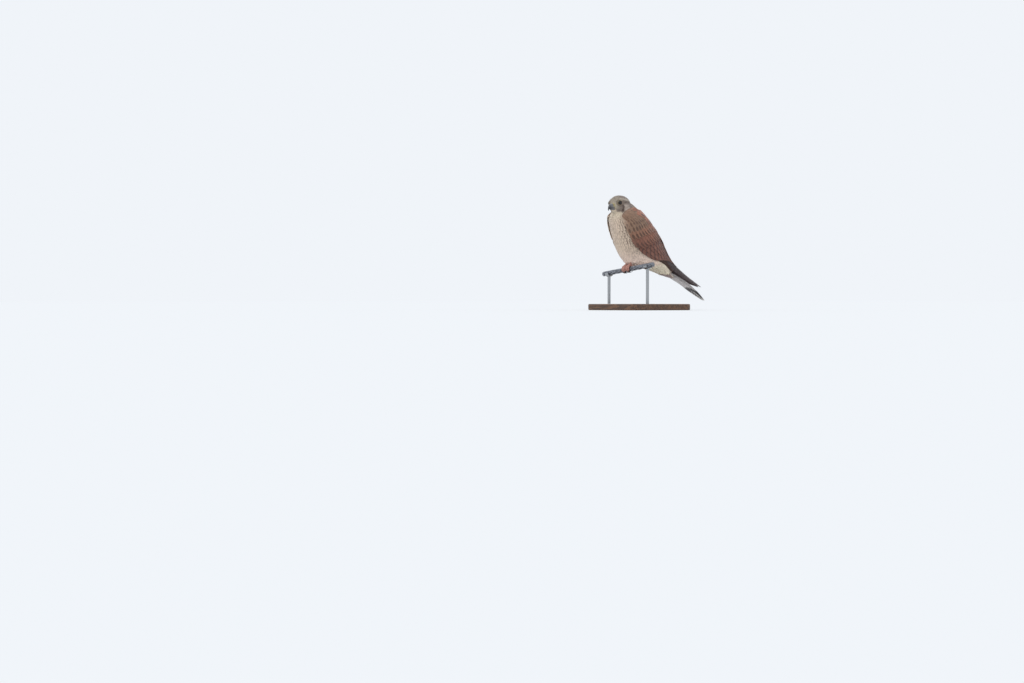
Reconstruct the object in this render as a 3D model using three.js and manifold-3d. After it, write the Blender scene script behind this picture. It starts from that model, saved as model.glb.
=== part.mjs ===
// A common kestrel at rest on a short length of stranded wire, life size, on a plain display stand.
// Millimetres, +Z up. The bird faces -Y, its left side is +X, and its tail hangs towards +Y.
// The origin is the middle of the base's underside. The bird and the wire are built in a frame of their
// own, whose origin is the top of the wire between the two feet.

import * as THREE from "three";
import { mergeVertices } from "three/addons/utils/BufferGeometryUtils.js";
import Module from "manifold-3d";

const wasm = await Module();
wasm.setup();

// Driving sizes
const GAP = 0.3; // clearance between two nodes that touch
const WIRE_TOP = 84; // height of the wire's top under the feet, above the floor
const FEET_Y = -28; // place of the feet, forward of the base's middle
const WIRE_RADIUS = 4.7;
const WIRE_LENGTH = 150;
const WIRE_SLOPE = THREE.MathUtils.degToRad(6.4); // the wire rises towards the bird's left
const BASE_SIZE = { width: 150, depth: 150, height: 12, corner: 14, bevel: 1.5 };
const ROD = { radius: 3, spread: 58 };
const CRADLE = { wall: 2.2, length: 9 }; // the open half ring on each rod that the wire lies in
const ROOM = 900; // a box of this size holds the whole bird

const HEAD = { centre: [0, -22.5, 120], yaw: 10, pitch: 1 }; // turned to its left and bowed, degrees
const EYE = { forward: 12.2, side: 11.1, up: 3.2, radius: 5.4, look: [8.6, 4.6, 1] };
const LID = { radius: 5.2, thickness: 0.9, out: 2.6, height: 0.92 };

// The body's outline in the plane of symmetry, from inside the head to the root of the tail:
// the belly's point, the back's point, the half width and the fullness of the section's corners.
const BODY = [
  { belly: [-33, 112], back: [6, 124], half: 16, full: 2.0 },
  { belly: [-39, 102], back: [16, 115], half: 22, full: 2.1 },
  { belly: [-41, 92], back: [29, 101], half: 29, full: 2.2 },
  { belly: [-37.5, 78], back: [44, 85], half: 33.5, full: 2.25 },
  { belly: [-29, 51], back: [60, 63], half: 34.5, full: 2.25 },
  { belly: [-21, 31], back: [74, 43], half: 33, full: 2.2 },
  { belly: [-10, 15], back: [86, 27], half: 30, full: 2.15 },
  { belly: [4, 5], back: [95, 15], half: 27, full: 2.1 },
  { belly: [24, 0], back: [102, 6], half: 23, full: 2.1 },
  { belly: [47, -3], back: [107, -1], half: 18.5, full: 2.1 },
  { belly: [68, -9], back: [110, -6], half: 14.5, full: 2.1 },
  { belly: [85, -15], back: [112.5, -10.5], half: 11.5, full: 2.1 },
];
const BODY_RINGS = 15;
const BODY_SIDES = 20;
const NECK_TOP = { belly: [-37, 101.5], back: [8, 111] };
const NECK_FOOT = { belly: [-40, 91], back: [30, 99] };

// The head's sections from nape to the root of the bill: place forward, top, underside, half width
const HEAD_SECTIONS = [
  [-23, 2, -5, 4.5],
  [-20.5, 9.5, -11, 11],
  [-15, 14.6, -15, 16.2],
  [-8, 17.8, -17.5, 18.8],
  [0, 18.8, -18.5, 19.6],
  [7, 17.9, -18, 18.8],
  [12.5, 14.8, -16, 15.9],
  [16.6, 9.6, -13.4, 11],
  [19.7, 3.3, -10.9, 5.9],
];
const HEAD_SIDES = 20;
const HEAD_RINGS = 14;
const HEAD_FULL = 2.1; // the fullness of its sections' corners

// The bill: ridge point and edge point (forward, up) and half width, from root to tip
const UPPER_BILL = [
  [[20, 2.6], [20, -6.3], 5.2],
  [[24, 2.3], [23.8, -6.4], 4.4],
  [[28, 0.4], [27.2, -6.5], 3.3],
  [[30.9, -2.8], [29.2, -7], 2.3],
  [[32.6, -6.4], [30.8, -8.4], 1.4],
  [[33, -9.6], [32, -10.3], 0.8],
  [[32.7, -12.2], [32.4, -12.3], 0.3],
];
const LOWER_BILL = [
  [[20, -6.9], [20, -10.4], 4.4],
  [[23.8, -7], [23.8, -10.3], 3.6],
  [[27, -7.2], [26.8, -9.4], 2.4],
  [[28.7, -7.8], [28.5, -8.6], 1.1],
];
const BILL_SIDES = 12;
const BILL_FULL = 2.2;
const NOSTRIL = { radius: 0.75, depth: 3, side: 5.2, forward: 22.6, up: -0.6 };
const GAPE = { size: [3, 7, 0.6], turn: 0.62, side: 7.6, forward: 17.6, up: -6.8 };

// The folded wing's outer surface: its lower edge, its widest line and its upper edge, from wrist to tip
const WING_LOW = [
  [17, -33, 93], [19, -32, 80], [21, -26, 61], [24.5, -15, 42], [28, 5, 23],
  [26.5, 38, 12], [21.5, 72, 2.5], [17, 106, -14], [13, 146, -28], [8.5, 185, -37.5],
];
const WING_MID = [
  [27, -18, 103], [35, 2, 93], [38.5, 14, 77], [40, 28, 63], [39, 43, 50],
  [32, 66, 32], [23.5, 88, 14], [15, 117, -4], [11, 151, -21.5], [7.5, 188, -37],
];
const WING_TOP = [
  [16, 0, 112], [13, 21, 105.5], [10, 38, 94], [8, 54, 80], [6, 67, 64],
  [4.5, 80, 47], [3.5, 99, 24], [3, 124, 3], [4.5, 157, -17], [6.5, 191, -36.5],
];

const WING_LIFT = 4.6; // how far the folded wing stands out from the flank
const WING_COMES_OUT = [-0.25, 0.3]; // the places across it between which it comes out from the flank

// The wing's flesh: the places along it, and the depth of its outer and its inner face there
const WING_CORE_ROWS = [0, 0.1, 0.2, 0.3, 0.38, 0.41, 0.52, 0.62, 0.7, 0.78];
const WING_CORE_OUTER = [[0, 1.2], [0.38, 1.2], [0.41, 3.2], [0.62, 3.2], [0.78, 4.2]];
const WING_CORE_INNER = [[0, 13], [0.45, 7], [0.6, 6], [0.7, 7.4], [0.78, 6.8]];

// The wing's tiers of feathers: how many, where the first and the last have root and tip along and
// across the wing, half width, depth of the root, height of the rest and lean in degrees
const WING_TIERS = [
  { count: 5, roots: [[0.66, 0.3], [0.62, 0.66]], tips: [[1, 0.45], [0.84, 0.76]], half: 5.6,
    sunk: [-6, -3.9], lift: [-4.6, -2], lean: 0, outline: "quill" },
  { count: 6, roots: [[0.35, 0.1], [0.35, 0.88]], tips: [[0.6, 0.1], [0.77, 0.86]], half: 7.4,
    sunk: [-2.4, -2.4], lift: [-1.9, -1.9], lean: 8, outline: "quill" },
  { count: 6, roots: [[0.25, 0.1], [0.27, 0.74]], tips: [[0.41, 0.1], [0.47, 0.76]], half: 7.6,
    sunk: [-2.6, -2.6], lift: [0.3, 0.3], lean: 6, outline: "covert" },
  { count: 5, roots: [[0.12, 0.14], [0.13, 0.74]], tips: [[0.28, 0.12], [0.31, 0.76]], half: 8.2,
    sunk: [-2.6, -2.6], lift: [0.3, 0.3], lean: 5, outline: "covert" },
  { count: 4, roots: [[0, 0.18], [0, 0.66]], tips: [[0.15, 0.15], [0.17, 0.74]], half: 8.4,
    sunk: [-2.6, -2.6], lift: [0.3, 0.3], lean: 5, outline: "covert" },
  { count: 3, roots: [[0.03, 0.92], [0.36, 0.9]], tips: [[0.26, 0.92], [0.58, 0.9]], half: 7.4,
    sunk: [-2.6, -2.6], lift: [1.2, 1.2], lean: 0, outline: "covert" },
];

// Feather outlines: place along the feather and share of its half width
const OUTLINES = {
  quill: [[0, 0.5], [0.3, 0.92], [0.86, 0.9], [1, 0.3]],
  covert: [[0, 0.6], [0.62, 1], [1, 0.34]],
};
const FEATHER_THICK = 0.55;
const FEATHER_CAMBER = 0.05; // how far the shaft line stands up, as a share of the half width
const FEATHER_TIP = 0.6; // the share of its thickness that a feather keeps at the tip
// A blade's section: place across, and height as a share of half the thickness
const BLADE_SECTION = [[-1, 0.8], [0, 1.1], [1, 0.8], [1, -0.8], [0, -1.1], [-1, -0.8]];
const SURFACED = 0.3; // the share of its length in which a wing feather comes up
const SIZE_PLAY = 0.06; // chance differences in the feathers' widths and in their tips' places
const TIP_PLAY = 0.014;
const SEED = 11;

// The tail's middle line from root to tip, below the wings, and its half width
const TAIL_LINE = [[86, -9], [104, -14.5], [122, -22], [148, -34.5], [170, -49], [198, -68.5]];
const TAIL_HALF = 12.5;
const TAIL_PAIRS = 6;
const TAIL_PITCH = 0.6; // from one tail feather down to the next
const TAIL_RISE = [2.9, 2]; // height of the topmost over the middle line, at the root and the tip
const TAIL_GRADE = 0.17; // how much shorter the outermost pair is, as a share of the tail
const TAIL_FAN = { inner: 0.8, step: 2.6, spread: 1.25, half: 7.6, from: 0.02, power: 1.6 };
const TAIL_ROOF = 2.2; // how much higher the tail is in the middle than at its edges
const TAIL_ROOM = [5.2, 2.9]; // half height of the space for tail and coverts, at the root and the tip
// The coverts over and under the tail: height at root and tip, and length as a share of the tail
const TAIL_COVERTS = [
  { rise: [1, 3.6], length: 0.3 },
  { rise: [-1, -5.2], length: 0.34 },
];
const TAIL_COVERT = {
  places: [-2, -1, 0, 1, 2],
  apart: 3.4,
  spread: 0.9,
  half: 4.6,
  shorter: 0.03, // how much of the tail the outer ones are shorter by
  drop: 0.35,
};
// The flesh at the tail's root: place, height, half width and half height
const TAIL_CORE = [[84, -11, 9.5, 4.5], [92, -11.8, 10, 5], [104, -15.5, 9, 4.3], [114, -19.2, 6.5, 2.6]];

// The feet, in the wire's own frame: each toe curls round the wire by an angle from its top, in degrees
const FOOT = { spread: 5.8, padRadius: 3.9, toeSpacing: 3.45, toeRadius: 1.85, hindRadius: 1.95 };
const FRONT_TOES = [
  { place: -1, end: 116 },
  { place: 0, end: 134 },
  { place: 1, end: 118 },
];
const HIND_TOE = { place: 0, end: -92 };
const TOE = { start: 4, thick: 1.06, taper: 0.2, knuckles: 3, knuckle: 0.1, arch: 1.3, gather: 0.55 };
const PAD = { scale: [1.12, 1.2, 0.72], back: 0.3, up: 2.1 };
const CLAW = { sweep: 62, radius: 1.15, point: 0.16, taper: 0.8, start: 3, clear: 0.55, rise: 0.9 };
const THIGH = { centre: [12.5, 12, 20], half: [11, 15, 16] };
const TARSUS = { foot: [6, 0.5, 4.6], top: [8, 6, 17], radius: 1.9, swell: [1.15, 1, 1.05], joint: 0.25 };

// Solids

function closedGeometry(points, faces) {
  const geometry = new THREE.BufferGeometry();
  const numbers = points.flatMap((p) => [p.x, p.y, p.z]);
  geometry.setAttribute("position", new THREE.Float32BufferAttribute(numbers, 3));
  let volume = 0;
  for (const [a, b, c] of faces) {
    volume += points[a].dot(new THREE.Vector3().crossVectors(points[b], points[c]));
  }
  geometry.setIndex(volume < 0 ? faces.flatMap(([a, b, c]) => [a, c, b]) : faces.flat());
  return geometry;
}

function solidOf(geometry) {
  const bare = geometry.clone();
  bare.deleteAttribute("normal");
  bare.deleteAttribute("uv");
  const merged = mergeVertices(bare, 1e-4);
  const mesh = new wasm.Mesh({
    numProp: 3,
    vertProperties: new Float32Array(merged.attributes.position.array),
    triVerts: new Uint32Array(merged.index.array),
  });
  return new wasm.Manifold(mesh);
}

function geometryOf(solid) {
  const mesh = solid.getMesh();
  const flat = new THREE.BufferGeometry();
  flat.setAttribute("position", new THREE.Float32BufferAttribute(Array.from(mesh.vertProperties), 3));
  flat.setIndex(Array.from(mesh.triVerts));
  const geometry = flat.toNonIndexed();
  geometry.computeVertexNormals();
  return geometry;
}

function largestBody(solid) {
  return solid.decompose().sort((a, b) => b.volume() - a.volume())[0];
}

function joined(solids) {
  return solids.reduce((whole, piece) => whole.add(piece));
}

// A closed skin over rings of the same number of points, with a fan over each end
function loftOf(rings) {
  const sides = rings[0].length;
  const points = rings.flat();
  const faces = [];
  for (let i = 0; i + 1 < rings.length; i++) {
    for (let k = 0; k < sides; k++) {
      const a = i * sides + k;
      const b = i * sides + ((k + 1) % sides);
      faces.push([a, b, b + sides], [a, b + sides, a + sides]);
    }
  }
  const last = (rings.length - 1) * sides;
  const first = points.length;
  points.push(middle(rings[0]), middle(rings.at(-1)));
  for (let k = 0; k < sides; k++) {
    const next = (k + 1) % sides;
    faces.push([first, next, k], [first + 1, last + k, last + next]);
  }
  return solidOf(closedGeometry(points, faces));
}

// A feather's blade through sections, each with a centre, a side and an upward direction, a half width
// and a thickness. The shaft line stands a little proud, and both faces are split into triangles alike.
function bladeOf(sections) {
  const points = [];
  const faces = [];
  for (const { centre, side, up, half, thick } of sections) {
    const camber = FEATHER_CAMBER * half;
    for (const [across, high] of BLADE_SECTION) {
      const lift = (high * thick) / 2 + (across === 0 ? camber : 0);
      points.push(centre.clone().addScaledVector(side, across * half).addScaledVector(up, lift));
    }
  }
  for (let i = 0; i + 1 < sections.length; i++) {
    for (let k = 0; k < 6; k++) {
      const a = 6 * i + k;
      const b = 6 * i + ((k + 1) % 6);
      const underside = k === 3 || k === 4;
      faces.push(underside ? [a, b, a + 6] : [a, b, b + 6], underside ? [b, b + 6, a + 6] : [a, b + 6, a + 6]);
    }
  }
  const last = 6 * (sections.length - 1);
  for (const [a, b] of [[2, 3], [3, 4], [4, 5], [5, 0]]) {
    faces.push([1, b, a], [last + 1, last + a, last + b]);
  }
  return solidOf(closedGeometry(points, faces));
}

// A feather's thickness at a place along it
function thickAt(s) {
  return FEATHER_THICK * (s === 1 ? FEATHER_TIP : 1);
}

// A repeatable row of numbers from 0 to 1, each the last one multiplied and cut to its remainder
function seeded(seed) {
  const factor = 16807;
  const most = 2 ** 31 - 1;
  let state = seed;
  return () => {
    state = (state * factor) % most;
    return state / most;
  };
}

function middle(ring) {
  const sum = new THREE.Vector3();
  ring.forEach((p) => sum.add(p));
  return sum.divideScalar(ring.length);
}

function curveOf(points) {
  const vectors = points.map(([x, y, z = 0]) => new THREE.Vector3(x, y, z));
  return new THREE.CatmullRomCurve3(vectors, false, "catmullrom", 0.5);
}

// A rounded section: an oval whose corners fill out as the exponent rises above 2
function ovalPoint(angle, exponent) {
  const c = Math.cos(angle);
  const s = Math.sin(angle);
  const power = 2 / exponent;
  return [Math.sign(c) * Math.abs(c) ** power, Math.sign(s) * Math.abs(s) ** power];
}

function ovalRing(centre, across, upward, exponent, sides) {
  return Array.from({ length: sides }, (_, k) => {
    const [a, b] = ovalPoint(((k + 0.5) / sides) * 2 * Math.PI, exponent);
    return centre.clone().addScaledVector(across, a).addScaledVector(upward, b);
  });
}

// Everything on the far side of a plane given by two points of the outline, as a large box
function sideOf({ belly, back }, shift, upward) {
  const middlePoint = new THREE.Vector3(0, (belly[0] + back[0]) / 2, (belly[1] + back[1]) / 2);
  const slope = Math.atan2(back[1] - belly[1], back[0] - belly[0]);
  const normal = new THREE.Vector3(0, -Math.sin(slope), Math.cos(slope));
  const reach = upward ? ROOM / 2 + shift : -ROOM / 2 - shift;
  const box = new THREE.BoxGeometry(ROOM, ROOM, ROOM);
  box.rotateX(slope);
  const place = middlePoint.addScaledVector(normal, reach);
  box.translate(place.x, place.y, place.z);
  return solidOf(box);
}

function mirrored(solid) {
  const geometry = geometryOf(solid);
  const position = geometry.attributes.position;
  for (let i = 0; i < position.count; i += 3) {
    const corners = [0, 2, 1].map((k) => new THREE.Vector3().fromBufferAttribute(position, i + k));
    corners.forEach((p, k) => position.setXYZ(i + k, -p.x, p.y, p.z));
  }
  geometry.deleteAttribute("normal");
  return solidOf(geometry);
}

// The body: one skin from the head to the root of the tail

const bellyLine = curveOf(BODY.map((s) => s.belly));
const backLine = curveOf(BODY.map((s) => s.back));
const girth = curveOf(BODY.map((s) => [s.half, s.full]));

function bodyRing(t, grow) {
  const belly = bellyLine.getPoint(t);
  const back = backLine.getPoint(t);
  const { x: half, y: full } = girth.getPoint(t);
  const lower = new THREE.Vector3(0, belly.x, belly.y);
  const upper = new THREE.Vector3(0, back.x, back.y);
  const centre = lower.clone().lerp(upper, 0.5);
  const upward = upper.sub(centre);
  upward.setLength(upward.length() + grow);
  return ovalRing(centre, new THREE.Vector3(half + grow, 0, 0), upward, full, BODY_SIDES);
}

function bodySkin(grow) {
  return loftOf(Array.from({ length: BODY_RINGS }, (_, i) => bodyRing(i / (BODY_RINGS - 1), grow)));
}

// The body's half width at a place in the plane of symmetry, or 0 outside the outline
function bodyHalf(y, z) {
  const side = (t) => {
    const belly = bellyLine.getPoint(t);
    const back = backLine.getPoint(t);
    return (back.x - belly.x) * (z - belly.y) - (back.y - belly.y) * (y - belly.x);
  };
  const halvings = 18;
  let above = 0;
  let below = 1;
  if (side(0) > 0 || side(1) < 0) return 0;
  for (let i = 0; i < halvings; i++) {
    const t = (above + below) / 2;
    if (side(t) > 0) below = t;
    else above = t;
  }
  const belly = bellyLine.getPoint(above);
  const back = backLine.getPoint(above);
  const { x: half, y: full } = girth.getPoint(above);
  const along = (2 * (y - belly.x)) / (back.x - belly.x) - 1;
  return half * Math.max(1 - Math.abs(along) ** full, 0) ** (1 / full);
}

// The head, in its own frame: x to the left, y backwards, z up

const headTurn = new THREE.Matrix4()
  .makeTranslation(...HEAD.centre)
  .multiply(new THREE.Matrix4().makeRotationZ(THREE.MathUtils.degToRad(HEAD.yaw)))
  .multiply(new THREE.Matrix4().makeRotationX(THREE.MathUtils.degToRad(HEAD.pitch)));

function headPoint(side, forward, up) {
  return new THREE.Vector3(side, -forward, up).applyMatrix4(headTurn);
}

function headRing(forward, top, bottom, half) {
  const centre = headPoint(0, forward, (top + bottom) / 2);
  const across = headPoint(half, forward, (top + bottom) / 2).sub(centre);
  const upward = headPoint(0, forward, top).sub(centre);
  return ovalRing(centre, across, upward, HEAD_FULL, HEAD_SIDES);
}

function headSkin(grow) {
  const sections = curveOf(HEAD_SECTIONS.map(([forward, top, bottom]) => [forward, top, bottom]));
  const widths = curveOf(HEAD_SECTIONS.map((s) => [s[3], 0]));
  const rings = [];
  for (let i = 0; i <= HEAD_RINGS; i++) {
    const s = sections.getPoint(i / HEAD_RINGS);
    const half = widths.getPoint(i / HEAD_RINGS).x;
    rings.push(headRing(s.x, s.y + grow, s.z - grow, half + grow));
  }
  return loftOf(rings);
}

// An eye's centre and the direction it looks, out to its own side and a little forward
function eyeFrame(side) {
  const centre = headPoint(side * EYE.side, EYE.forward, EYE.up);
  const [out, ahead, high] = EYE.look;
  const look = headPoint(side * (EYE.side + out), EYE.forward + ahead, EYE.up + high).sub(centre).normalize();
  return { centre, look };
}

function eyeBall(side, radius) {
  const ball = new THREE.SphereGeometry(radius, 12, 8);
  const { centre } = eyeFrame(side);
  ball.translate(centre.x, centre.y, centre.z);
  return solidOf(ball);
}

// The lids: one ring round the eye, a little wider than high
function lidRing(side) {
  const { centre, look } = eyeFrame(side);
  const ring = new THREE.TorusGeometry(LID.radius, LID.thickness, 5, 14);
  ring.scale(1, LID.height, 1);
  ring.applyQuaternion(new THREE.Quaternion().setFromUnitVectors(new THREE.Vector3(0, 0, 1), look));
  const place = centre.clone().addScaledVector(look, LID.out);
  ring.translate(place.x, place.y, place.z);
  return solidOf(ring);
}

function billPiece(sections) {
  const rings = sections.map(([ridge, edge, half]) => {
    const top = headPoint(0, ridge[0], ridge[1]);
    const centre = top.clone().lerp(headPoint(0, edge[0], edge[1]), 0.5);
    const across = headPoint(half, 0, 0).sub(headPoint(0, 0, 0));
    return ovalRing(centre, across, top.sub(centre), BILL_FULL, BILL_SIDES);
  });
  return loftOf(rings);
}

function nostril(side) {
  const hole = new THREE.CylinderGeometry(NOSTRIL.radius, NOSTRIL.radius, NOSTRIL.depth, 8);
  hole.rotateZ(Math.PI / 2);
  hole.translate(side * NOSTRIL.side, -NOSTRIL.forward, NOSTRIL.up);
  hole.applyMatrix4(headTurn);
  return solidOf(hole);
}

// The line of the mouth goes on past the bill, a fine groove in each cheek
function gape(side) {
  const groove = new THREE.BoxGeometry(...GAPE.size);
  groove.rotateZ(side * GAPE.turn);
  groove.translate(side * GAPE.side, -GAPE.forward, GAPE.up);
  groove.applyMatrix4(headTurn);
  return solidOf(groove);
}

// The folded wing, on the left side

const wingLines = [WING_LOW, WING_MID, WING_TOP].map(curveOf);

function wingPoint(u, v) {
  const [low, mid, top] = wingLines.map((line) => line.getPoint(Math.min(Math.max(u, 0), 1)));
  const point = low
    .multiplyScalar(2 * (v - 0.5) * (v - 1))
    .addScaledVector(mid, 4 * v * (1 - v))
    .addScaledVector(top, 2 * v * (v - 0.5));
  const lift = WING_LIFT * THREE.MathUtils.smoothstep(v, ...WING_COMES_OUT);
  point.x = Math.max(point.x, bodyHalf(point.y, point.z) + lift);
  return point;
}

function wingNormal(u, v) {
  const step = 0.01;
  const along = wingPoint(Math.min(u + step, 1), v).sub(wingPoint(Math.max(u - step, 0), v));
  const across = wingPoint(u, v + step).sub(wingPoint(u, v - step));
  return along.cross(across).normalize();
}

// A sheet with an outer and an inner face, split into triangles alike on both
function sheetOf(rows, columns, outer, inner) {
  const points = [];
  const faces = [];
  for (const face of [outer, inner]) {
    for (let i = 0; i <= rows; i++) {
      for (let j = 0; j <= columns; j++) {
        points.push(face(i / rows, j / columns));
      }
    }
  }
  const row = columns + 1;
  const back = (rows + 1) * row;
  for (let i = 0; i < rows; i++) {
    for (let j = 0; j < columns; j++) {
      const a = i * row + j;
      faces.push([a, a + 1, a + row + 1], [a, a + row + 1, a + row]);
      faces.push([back + a, back + a + row + 1, back + a + 1], [back + a, back + a + row, back + a + row + 1]);
    }
  }
  const rim = [];
  for (let j = 0; j < columns; j++) rim.push(j);
  for (let i = 0; i < rows; i++) rim.push(i * row + columns);
  for (let j = columns; j > 0; j--) rim.push(rows * row + j);
  for (let i = rows; i > 0; i--) rim.push(i * row);
  rim.forEach((a, k) => {
    const b = rim[(k + 1) % rim.length];
    faces.push([a, back + b, b], [a, back + a, back + b]);
  });
  return solidOf(closedGeometry(points, faces));
}

// A value read between the steps of a table of places and values
function stepped(table, place) {
  const next = table.findIndex(([at]) => at >= place);
  if (next < 1) return table[next < 0 ? table.length - 1 : 0][1];
  const [from, to] = [table[next - 1], table[next]];
  return THREE.MathUtils.lerp(from[1], to[1], (place - from[0]) / (to[0] - from[0]));
}

// The wing's flesh and the roots of its feathers, thinning out towards the bases of the quills
function wingCore() {
  const last = WING_CORE_ROWS.length - 1;
  const face = (depths) => (s, t) => {
    const u = WING_CORE_ROWS[Math.round(s * last)];
    const v = THREE.MathUtils.lerp(0.03, 0.97, t);
    return wingPoint(u, v).addScaledVector(wingNormal(u, v), -stepped(depths, u));
  };
  return sheetOf(last, 5, face(WING_CORE_OUTER), face(WING_CORE_INNER));
}

// A feather laid on the wing from a root to a tip, both given along and across the wing. Its root is
// sunk, it soon comes up, and it leans so that its neighbour lies over it.
function wingFeather({ root, tip, half, sunk, lift, lean, outline }) {
  return bladeOf(outline.map(([s, width]) => {
    const u = THREE.MathUtils.lerp(root[0], tip[0], s);
    const v = THREE.MathUtils.lerp(root[1], tip[1], s);
    const step = 0.02;
    const ahead = wingPoint(u + (tip[0] - root[0]) * step, v + (tip[1] - root[1]) * step);
    const along = ahead.sub(wingPoint(u, v)).normalize();
    const up = wingNormal(u, v);
    const rise = THREE.MathUtils.lerp(sunk, lift, Math.min(s / SURFACED, 1));
    const centre = wingPoint(u, v).addScaledVector(up, rise);
    const side = up.clone().cross(along).addScaledVector(up, Math.tan(THREE.MathUtils.degToRad(lean)));
    return { centre, side: side.normalize(), up, half: half * width, thick: thickAt(s) };
  }));
}

function wingWhole(random) {
  const feathers = WING_TIERS.flatMap(({ count, roots, tips, half, sunk, lift, lean, outline }) => {
    return Array.from({ length: count }, (_, i) => {
      const t = i / (count - 1);
      const between = ([a, b]) => a.map((value, k) => THREE.MathUtils.lerp(value, b[k], t));
      const tip = between(tips);
      tip[0] += outline === "quill" ? 0 : (random() - 0.5) * TIP_PLAY;
      return wingFeather({
        root: between(roots),
        tip,
        half: half * (1 + (random() - 0.5) * SIZE_PLAY),
        sunk: THREE.MathUtils.lerp(sunk[0], sunk[1], t),
        lift: THREE.MathUtils.lerp(lift[0], lift[1], t),
        lean,
        outline: OUTLINES[outline],
      });
    });
  });
  return joined([wingCore(), ...feathers]);
}

// The tail

const tailLine = curveOf(TAIL_LINE);

function tailRise(across) {
  return TAIL_ROOF * (1 - (across / TAIL_HALF) ** 2);
}

// The space that the tail and its coverts fill, from root to tip
function tailRoom(grow) {
  const face = (offset) => (u, v) => {
    const p = tailLine.getPoint(u);
    const x = (2 * v - 1) * (TAIL_HALF + grow);
    const high = THREE.MathUtils.lerp(...TAIL_ROOM, u) + grow;
    return new THREE.Vector3(x, p.x, p.y + tailRise(x) + offset * high);
  };
  return sheetOf(10, 6, face(1), face(-1));
}

function tailCore() {
  const rings = TAIL_CORE.map(([y, z, half, high]) => {
    const centre = new THREE.Vector3(0, y, z);
    return ovalRing(centre, new THREE.Vector3(half, 0, 0), new THREE.Vector3(0, high * 0.3, high), 2.4, 16);
  });
  return loftOf(rings);
}

// A feather of the tail, from near the root to its own tip, at a place across and a height above the line
function tailFeather({ from, to, across, spread, rise, half, outline }) {
  return bladeOf(outline.map(([s, width]) => {
    const u = THREE.MathUtils.lerp(from, to, s);
    const p = tailLine.getPoint(Math.min(u, 1));
    const ahead = tailLine.getTangent(Math.min(u, 1));
    const x = across * THREE.MathUtils.lerp(1, spread, s);
    const up = new THREE.Vector3(0, -ahead.y, ahead.x);
    const lift = THREE.MathUtils.lerp(rise[0], rise[1], s);
    const centre = new THREE.Vector3(x, p.x, p.y + tailRise(x)).addScaledVector(up, lift);
    const slope = (tailRise(x + 1) - tailRise(x - 1)) / 2;
    const side = new THREE.Vector3(1, 0, slope).normalize();
    return { centre, side, up, half: half * width, thick: thickAt(s) };
  }));
}

function tailSolid() {
  const feathers = [];
  for (let i = 0; i < TAIL_PAIRS; i++) {
    const t = i / (TAIL_PAIRS - 1);
    for (const side of [1, -1]) {
      const layer = 2 * i + (side < 0 ? 1 : 0);
      feathers.push(tailFeather({
        from: TAIL_FAN.from,
        to: 1 - TAIL_GRADE * t ** TAIL_FAN.power,
        across: side * (TAIL_FAN.inner + TAIL_FAN.step * t),
        spread: TAIL_FAN.spread,
        rise: TAIL_RISE.map((top) => top - TAIL_PITCH * layer),
        half: TAIL_FAN.half,
        outline: OUTLINES.quill,
      }));
    }
  }
  for (const { rise, length } of TAIL_COVERTS) {
    for (const place of TAIL_COVERT.places) {
      feathers.push(tailFeather({
        from: 0,
        to: length - TAIL_COVERT.shorter * Math.abs(place),
        across: place * TAIL_COVERT.apart,
        spread: TAIL_COVERT.spread,
        rise: [rise[0], rise[1] - TAIL_COVERT.drop * Math.abs(place) * Math.sign(rise[1])],
        half: TAIL_COVERT.half,
        outline: OUTLINES.covert,
      }));
    }
  }
  return joined([tailCore(), ...feathers]);
}

// The feet, in the wire's frame: x along the wire, z up from its axis

function curledTube(x, from, to, steps, radiusAt, lift, spread) {
  const rings = [];
  for (let i = 0; i <= steps; i++) {
    const t = i / steps;
    const angle = THREE.MathUtils.degToRad(THREE.MathUtils.lerp(from, to, t));
    const radius = radiusAt(t);
    const outward = new THREE.Vector3(0, -Math.sin(angle), Math.cos(angle));
    const centre = outward.clone().multiplyScalar(WIRE_RADIUS + GAP + lift(t, radius));
    centre.x = x + spread(t);
    rings.push(ovalRing(centre, new THREE.Vector3(radius, 0, 0), outward.multiplyScalar(radius), 2, 6));
  }
  return loftOf(rings);
}

function toeSolid(side, toe, thickness) {
  const x = side * FOOT.spread + toe.place * FOOT.toeSpacing;
  const joints = (t) => 1 + TOE.knuckle * Math.cos(t * 2 * TOE.knuckles * Math.PI);
  const radiusAt = (t) => thickness * (TOE.thick - TOE.taper * t) * joints(t);
  const lean = (t) => -toe.place * FOOT.toeSpacing * TOE.gather * (1 - Math.min(t * 2.2, 1)) ** 2;
  const lift = (t, radius) => radius * 1.02 + TOE.arch * (1 - Math.min(t * 3, 1));
  return curledTube(x, Math.sign(toe.end) * TOE.start, toe.end, 8, radiusAt, lift, lean);
}

function clawSolid(side, toe) {
  const x = side * FOOT.spread + toe.place * FOOT.toeSpacing;
  const turn = Math.sign(toe.end);
  const radiusAt = (t) => CLAW.radius * (1 - t) ** CLAW.taper + CLAW.point;
  const lift = (t, radius) => radius + CLAW.clear + CLAW.rise * t;
  const from = toe.end + turn * CLAW.start;
  return curledTube(x, from, from + turn * CLAW.sweep, 5, radiusAt, lift, () => 0);
}

function footSolid(side) {
  const pad = new THREE.SphereGeometry(FOOT.padRadius, 10, 7);
  pad.scale(...PAD.scale);
  pad.translate(side * FOOT.spread, PAD.back, WIRE_RADIUS + PAD.up);
  const toes = FRONT_TOES.map((toe) => toeSolid(side, toe, FOOT.toeRadius));
  return joined([solidOf(pad), ...toes, toeSolid(side, HIND_TOE, FOOT.hindRadius)]);
}

function wireCylinder(radius, length) {
  const cylinder = new THREE.CylinderGeometry(radius, radius, length, 28);
  cylinder.rotateZ(Math.PI / 2);
  return cylinder;
}

// The legs: the feathered thigh, set in the belly, and the bare shank below it

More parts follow.
